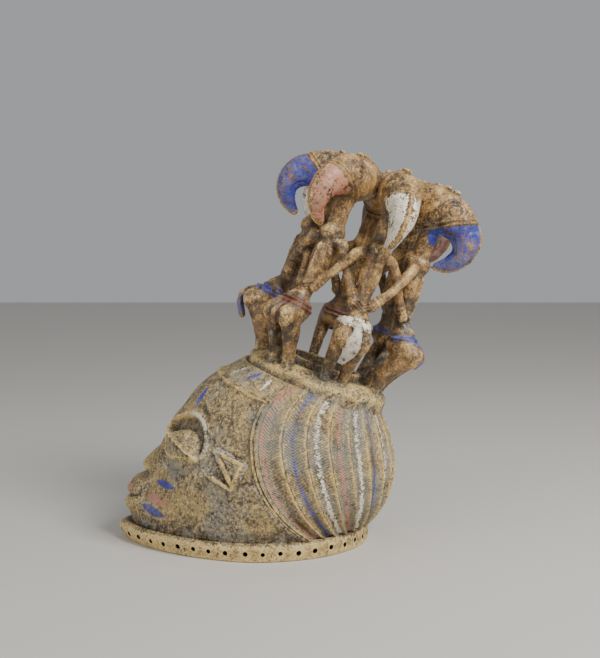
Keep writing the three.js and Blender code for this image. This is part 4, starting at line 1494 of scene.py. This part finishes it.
def carved_wood(colours):
    """Old painted hardwood, adzed and knife-cut, then handled and smoked."""
    # Knife-cut wood under soot and dust: dull, dark and grey in the hollows, rubbed
    # to ochre in patches and on every edge, with brittle clay paints flaking off, and
    # with shade painted in low on the head, round the eye and inside the rim holes
    material = new_material("smoked_painted_hardwood_knife_cut")

    def weigh(*parts):
        """The sum of values, each given with how much it counts."""
        result = 0.0
        for value, weight in parts:
            result = add_node(material, "ShaderNodeMath", {"operation": "MULTIPLY_ADD"},
                              {0: value, 1: weight, 2: result}).outputs[0]
        return result

    def coat(under, over, parts, low, high, most=1.0):
        """A colour laid over another, more as a weighed sum goes from low to high."""
        amount = add_node(material, "ShaderNodeMapRange", {"interpolation_type": "SMOOTHSTEP"},
                          {"Value": weigh(*parts), "From Min": low, "From Max": high,
                           "To Max": most}).outputs["Result"]
        return add_node(material, "ShaderNodeMix", {"data_type": "RGBA"},
                        {0: amount, 6: under, 7: over}).outputs[2]

    stored = {name: add_node(material, "ShaderNodeAttribute",
                             {"attribute_name": name}).outputs["Fac"]
              for name in (*FIELDS, *PAINTS)}
    edge, form, hair, figures, rim, shade_and_grime, raised, kaolin, hole_shade = [
        stored[name] for name in FIELDS]

    # Patterns from about -0.5 to 0.5, scaled by how many blobs go into a metre
    place = add_node(material, "ShaderNodeTexCoord").outputs["Object"]
    drawn = {}
    for name, (size, detail, rough, shift) in PATTERNS.items():
        spot = add_node(material, "ShaderNodeVectorMath", {"operation": "ADD"},
                        {0: place, 1: (shift, shift, shift)}).outputs[0]
        blobs = add_node(material, "ShaderNodeTexNoise", {}, {
            "Vector": spot, "Scale": 1 / (size * MM), "Detail": detail,
            "Roughness": rough}).outputs["Fac"]
        drawn[name] = weigh((blobs, 1.0), (1.0, -0.5))
    patches, mottle, smear, speck, fleck = [drawn[name] for name in PATTERNS]

    # Broader smears on the smooth, handled figures, finer specks on the head
    speck = weigh((speck, weigh((1.0, 1.0), (figures, -0.45))),
                  (weigh((smear, figures)), 0.85))

    # The figures' skin is a redder brown, and their bare wood darker, than the head's
    brown, bare = [
        add_node(material, "ShaderNodeMix", {"data_type": "RGBA"},
                 {0: figures, 6: on_head, 7: on_figures}).outputs[2]
        for on_head, on_figures in ((colours.brown, colours.handled),
                                    (colours.worn, colours.rubbed))]
    # How far a place stands out, and on the figures their height: paler toward the top, darker
    # toward the feet
    stand = weigh((form, 0.03), (weigh((form, figures)), 0.02), (raised, 0.045))

    # Soot-dark to grey-brown skin, with dust over it
    surface = coat(colours.patina, brown, ((patches, 0.5), (mottle, 0.45), (speck, 0.55)),
                   -0.18, 0.14)
    surface = coat(surface, colours.dust,
                   ((patches, -0.8), (mottle, 0.3), (speck, 0.5), (hair, 0.12),
                    (figures, -0.10), (rim, -0.12)), -0.03, 0.12, 0.7)

    # Wood rubbed bare in specks and smears, more where the form stands out, pale on
    # the sharpest edges, with soot left in pits and clay in recesses. The shade field
    # darkens toward the soot colour as painted shade, and below 0 lightens as painted highlight
    surface = coat(surface, bare,
                   ((patches, 0.35), (mottle, 0.3), (speck, 0.8), (fleck, 0.7), (edge, 0.04),
                    (stand, 1.0), (rim, 0.05), (shade_and_grime, -0.14), (hair, -0.035),
                    (figures, -0.015)), -0.09, 0.17)
    surface = coat(surface, colours.bright,
                   ((mottle, 0.3), (speck, 0.6), (fleck, 0.9), (edge, 0.06), (stand, 0.5),
                    (shade_and_grime, -0.1), (figures, -0.05)), 0.03, 0.25)
    surface = coat(surface, colours.soot_and_shade,
                   ((fleck, 0.9), (speck, 0.8), (mottle, 0.5), (edge, 0.05), (stand, 0.6),
                    (shade_and_grime, -0.13), (hair, 0.05), (patches, 0.2), (figures, -0.02)),
                   -0.07, -0.32, weigh((1.0, 0.8), (figures, -0.3)))
    surface = coat(surface, colours.kaolin,
                   ((kaolin, 0.44), (mottle, 0.5), (speck, 0.8), (fleck, 0.6)),
                   0.16, 0.42, 0.85)

    # Paints, broken at their edges and rubbed off where the wood stands out
    loss = weigh((mottle, 5.0), (speck, 10.0), (fleck, 8.0), (edge, -0.5))
    for name in PAINTS:
        tone = getattr(colours, name)
        faded = [(1 - PAINT_DUST) * own + PAINT_DUST * dust
                 for own, dust in zip(tone, colours.dust)]
        aged = coat(tone, faded, ((speck, 0.8), (mottle, 1.0), (form, 0.03)), -0.04, 0.14)
        laid = add_node(material, "ShaderNodeMath", {"operation": "MINIMUM"},
                        {0: stored[name], 1: PAINT_THICKEST}).outputs[0]
        surface = coat(surface, aged, ((laid, 1.0), (loss, 1.0)), -0.1, 1.1)

    # Painted shade: faces inside the rim holes are laid over with the soot colour, as the dark
    # inside a hole
    surface = add_node(material, "ShaderNodeMix", {"data_type": "RGBA"},
                       {0: weigh((hole_shade, 0.95)), 6: surface, 7: colours.soot_and_shade}).outputs[2]

    rough = weigh((speck, 0.5), (mottle, 0.3), (edge, -0.02), (figures, -0.16), (1.0, 0.57))
    shaped = add_node(material, "ShaderNodeBump", {}, {
        "Height": weigh((speck, 0.6), (fleck, 0.5)), "Strength": 0.5, "Distance": 0.0012})
    shader = add_node(material, "ShaderNodeBsdfPrincipled", {}, {
        "Base Color": surface, "Roughness": rough, "Normal": shaped.outputs[0],
        "IOR": 1.5, "Specular IOR Level": 0.45})
    add_node(material, "ShaderNodeOutputMaterial", {}, {"Surface": shader.outputs[0]})
    return material


class MASK_OT_join(bpy.types.Operator):
    """Join head and figures in one carved piece, hollow it, and paint it"""
    bl_idname = "mask.join_and_paint"
    bl_label = "Join and paint"

    def execute(self, context):
        head = bpy.data.objects.get("head_form")
        others = [bpy.data.objects.get(name) for name, _ in JOINS]
        if None in (head, *others):
            raise RuntimeError("carve the head and the figures first")
        old_points = mesh_points(head.data)
        stored = read_fields(head.data)
        for other, (_, operation) in zip(others, JOINS):
            apply_modifier(head, "BOOLEAN", operation=operation, object=other,
                           solver="MANIFOLD")
        apply_modifier(head, "TRIANGULATE")
        mesh = head.data
        if not mesh.polygons:
            raise RuntimeError("the joined mask has no faces")
        fields, bored = joined_fields(mesh, old_points, stored)
        for name, values in fields.items():
            write_field(mesh, name, values)
        write_field(mesh, "hole_shade", bored, "FACE")
        head.name = PIECE
        mesh.name = PIECE
        mesh.materials.clear()
        mesh.materials.append(carved_wood(context.scene.mask_colours))
        for other in others:
            remove(other)
        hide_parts("gelede_mask")
        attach(head, "root")
        return {"FINISHED"}


class MASK_OT_stage(bpy.types.Operator):
    """Set the pale floor, the soft lights and the camera"""
    bl_idname = "mask.stage"
    bl_label = "Set stage"

    def execute(self, context):
        settings = context.scene.mask_stage
        corners = [(x * FLOOR_HALF, y * FLOOR_HALF, 0)
                   for x, y in ((-1, -1), (1, -1), (1, 1), (-1, 1))]
        mesh = bpy.data.meshes.new("floor")
        mesh.from_pydata(corners, [], [(0, 1, 2, 3)])
        floor = bpy.data.objects.new("floor", mesh)
        context.scene.collection.objects.link(floor)
        # Board rolled with matt paint: one pale tone all over, without gloss
        material = new_material("painted_board_rolled_matt")
        shader = add_node(material, "ShaderNodeBsdfPrincipled", {}, {
            "Base Color": tuple(settings.floor), "Roughness": 0.8})
        add_node(material, "ShaderNodeOutputMaterial", {}, {"Surface": shader.outputs[0]})
        mesh.materials.append(material)

        world = bpy.data.worlds.new("soft_room")
        world.use_nodes = True
        backdrop = world.node_tree.nodes["Background"]
        backdrop.inputs["Color"].default_value = SKY
        backdrop.inputs["Strength"].default_value = SKY_STRENGTH
        context.scene.world = world

        for name, place, size, power in (
                ("key_light", KEY_PLACE, KEY_SIZE, settings.key),
                ("fill_light", FILL_PLACE, FILL_SIZE, settings.fill)):
            light = bpy.data.lights.new(name, "AREA")
            light.size = size
            light.energy = power
            lamp = bpy.data.objects.new(name, light)
            lamp.location = place
            aim = Vector(LIGHT_AIM) - Vector(place)
            lamp.rotation_euler = aim.to_track_quat("-Z", "Y").to_euler()
            context.scene.collection.objects.link(lamp)

        camera = bpy.data.cameras.new("camera")
        camera.lens = CAMERA_LENS
        camera.sensor_width = CAMERA_SENSOR
        seat = bpy.data.objects.new("camera", camera)
        seat.location = CAMERA_PLACE
        seat.rotation_euler = [math.radians(part) for part in CAMERA_TURN]
        context.scene.collection.objects.link(seat)
        context.scene.camera = seat
        return {"FINISHED"}


class MASK_PT_panel(bpy.types.Panel):
    """The mask's sizes, colours and steps"""
    bl_label = "Gelede mask"
    bl_idname = "MASK_PT_panel"
    bl_space_type = "VIEW_3D"
    bl_region_type = "UI"
    bl_category = "Gelede mask"

    def draw(self, context):
        for group, operators in GROUPS:
            settings = getattr(context.scene, group)
            box = self.layout.box()
            for name in settings.bl_rna.properties.keys():
                if name not in ("rna_type", "name"):
                    box.prop(settings, name)
            for operator in operators:
                box.operator(operator)


GROUPS = (
    ("mask_head", ("mask.carve_head",)),
    ("mask_figures", ("mask.carve_figures",)),
    ("mask_colours", ("mask.join_and_paint",)),
    ("mask_stage", ("mask.stage",)),
)
SETTINGS = {"mask_head": MASK_PG_head, "mask_figures": MASK_PG_figures,
            "mask_colours": MASK_PG_colours, "mask_stage": MASK_PG_stage}
CLASSES = (*SETTINGS.values(), MASK_OT_head, MASK_OT_figures, MASK_OT_join, MASK_OT_stage,
           MASK_PT_panel)


def register():
    """Makes the settings, steps and panel known, with the settings on the scene."""
    for made in CLASSES:
        bpy.utils.register_class(made)
    for name, group in SETTINGS.items():
        setattr(bpy.types.Scene, name, bpy.props.PointerProperty(type=group))


def unregister():
    """Takes away what register made known."""
    for name in SETTINGS:
        delattr(bpy.types.Scene, name)
    for made in reversed(CLASSES):
        bpy.utils.unregister_class(made)


def main():
    """Sets the stage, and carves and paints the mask."""
    register()
    bpy.ops.mask.stage()
    bpy.ops.mask.carve_head()
    bpy.ops.mask.carve_figures()
    bpy.ops.mask.join_and_paint()


if __name__ == "__main__":
    main()
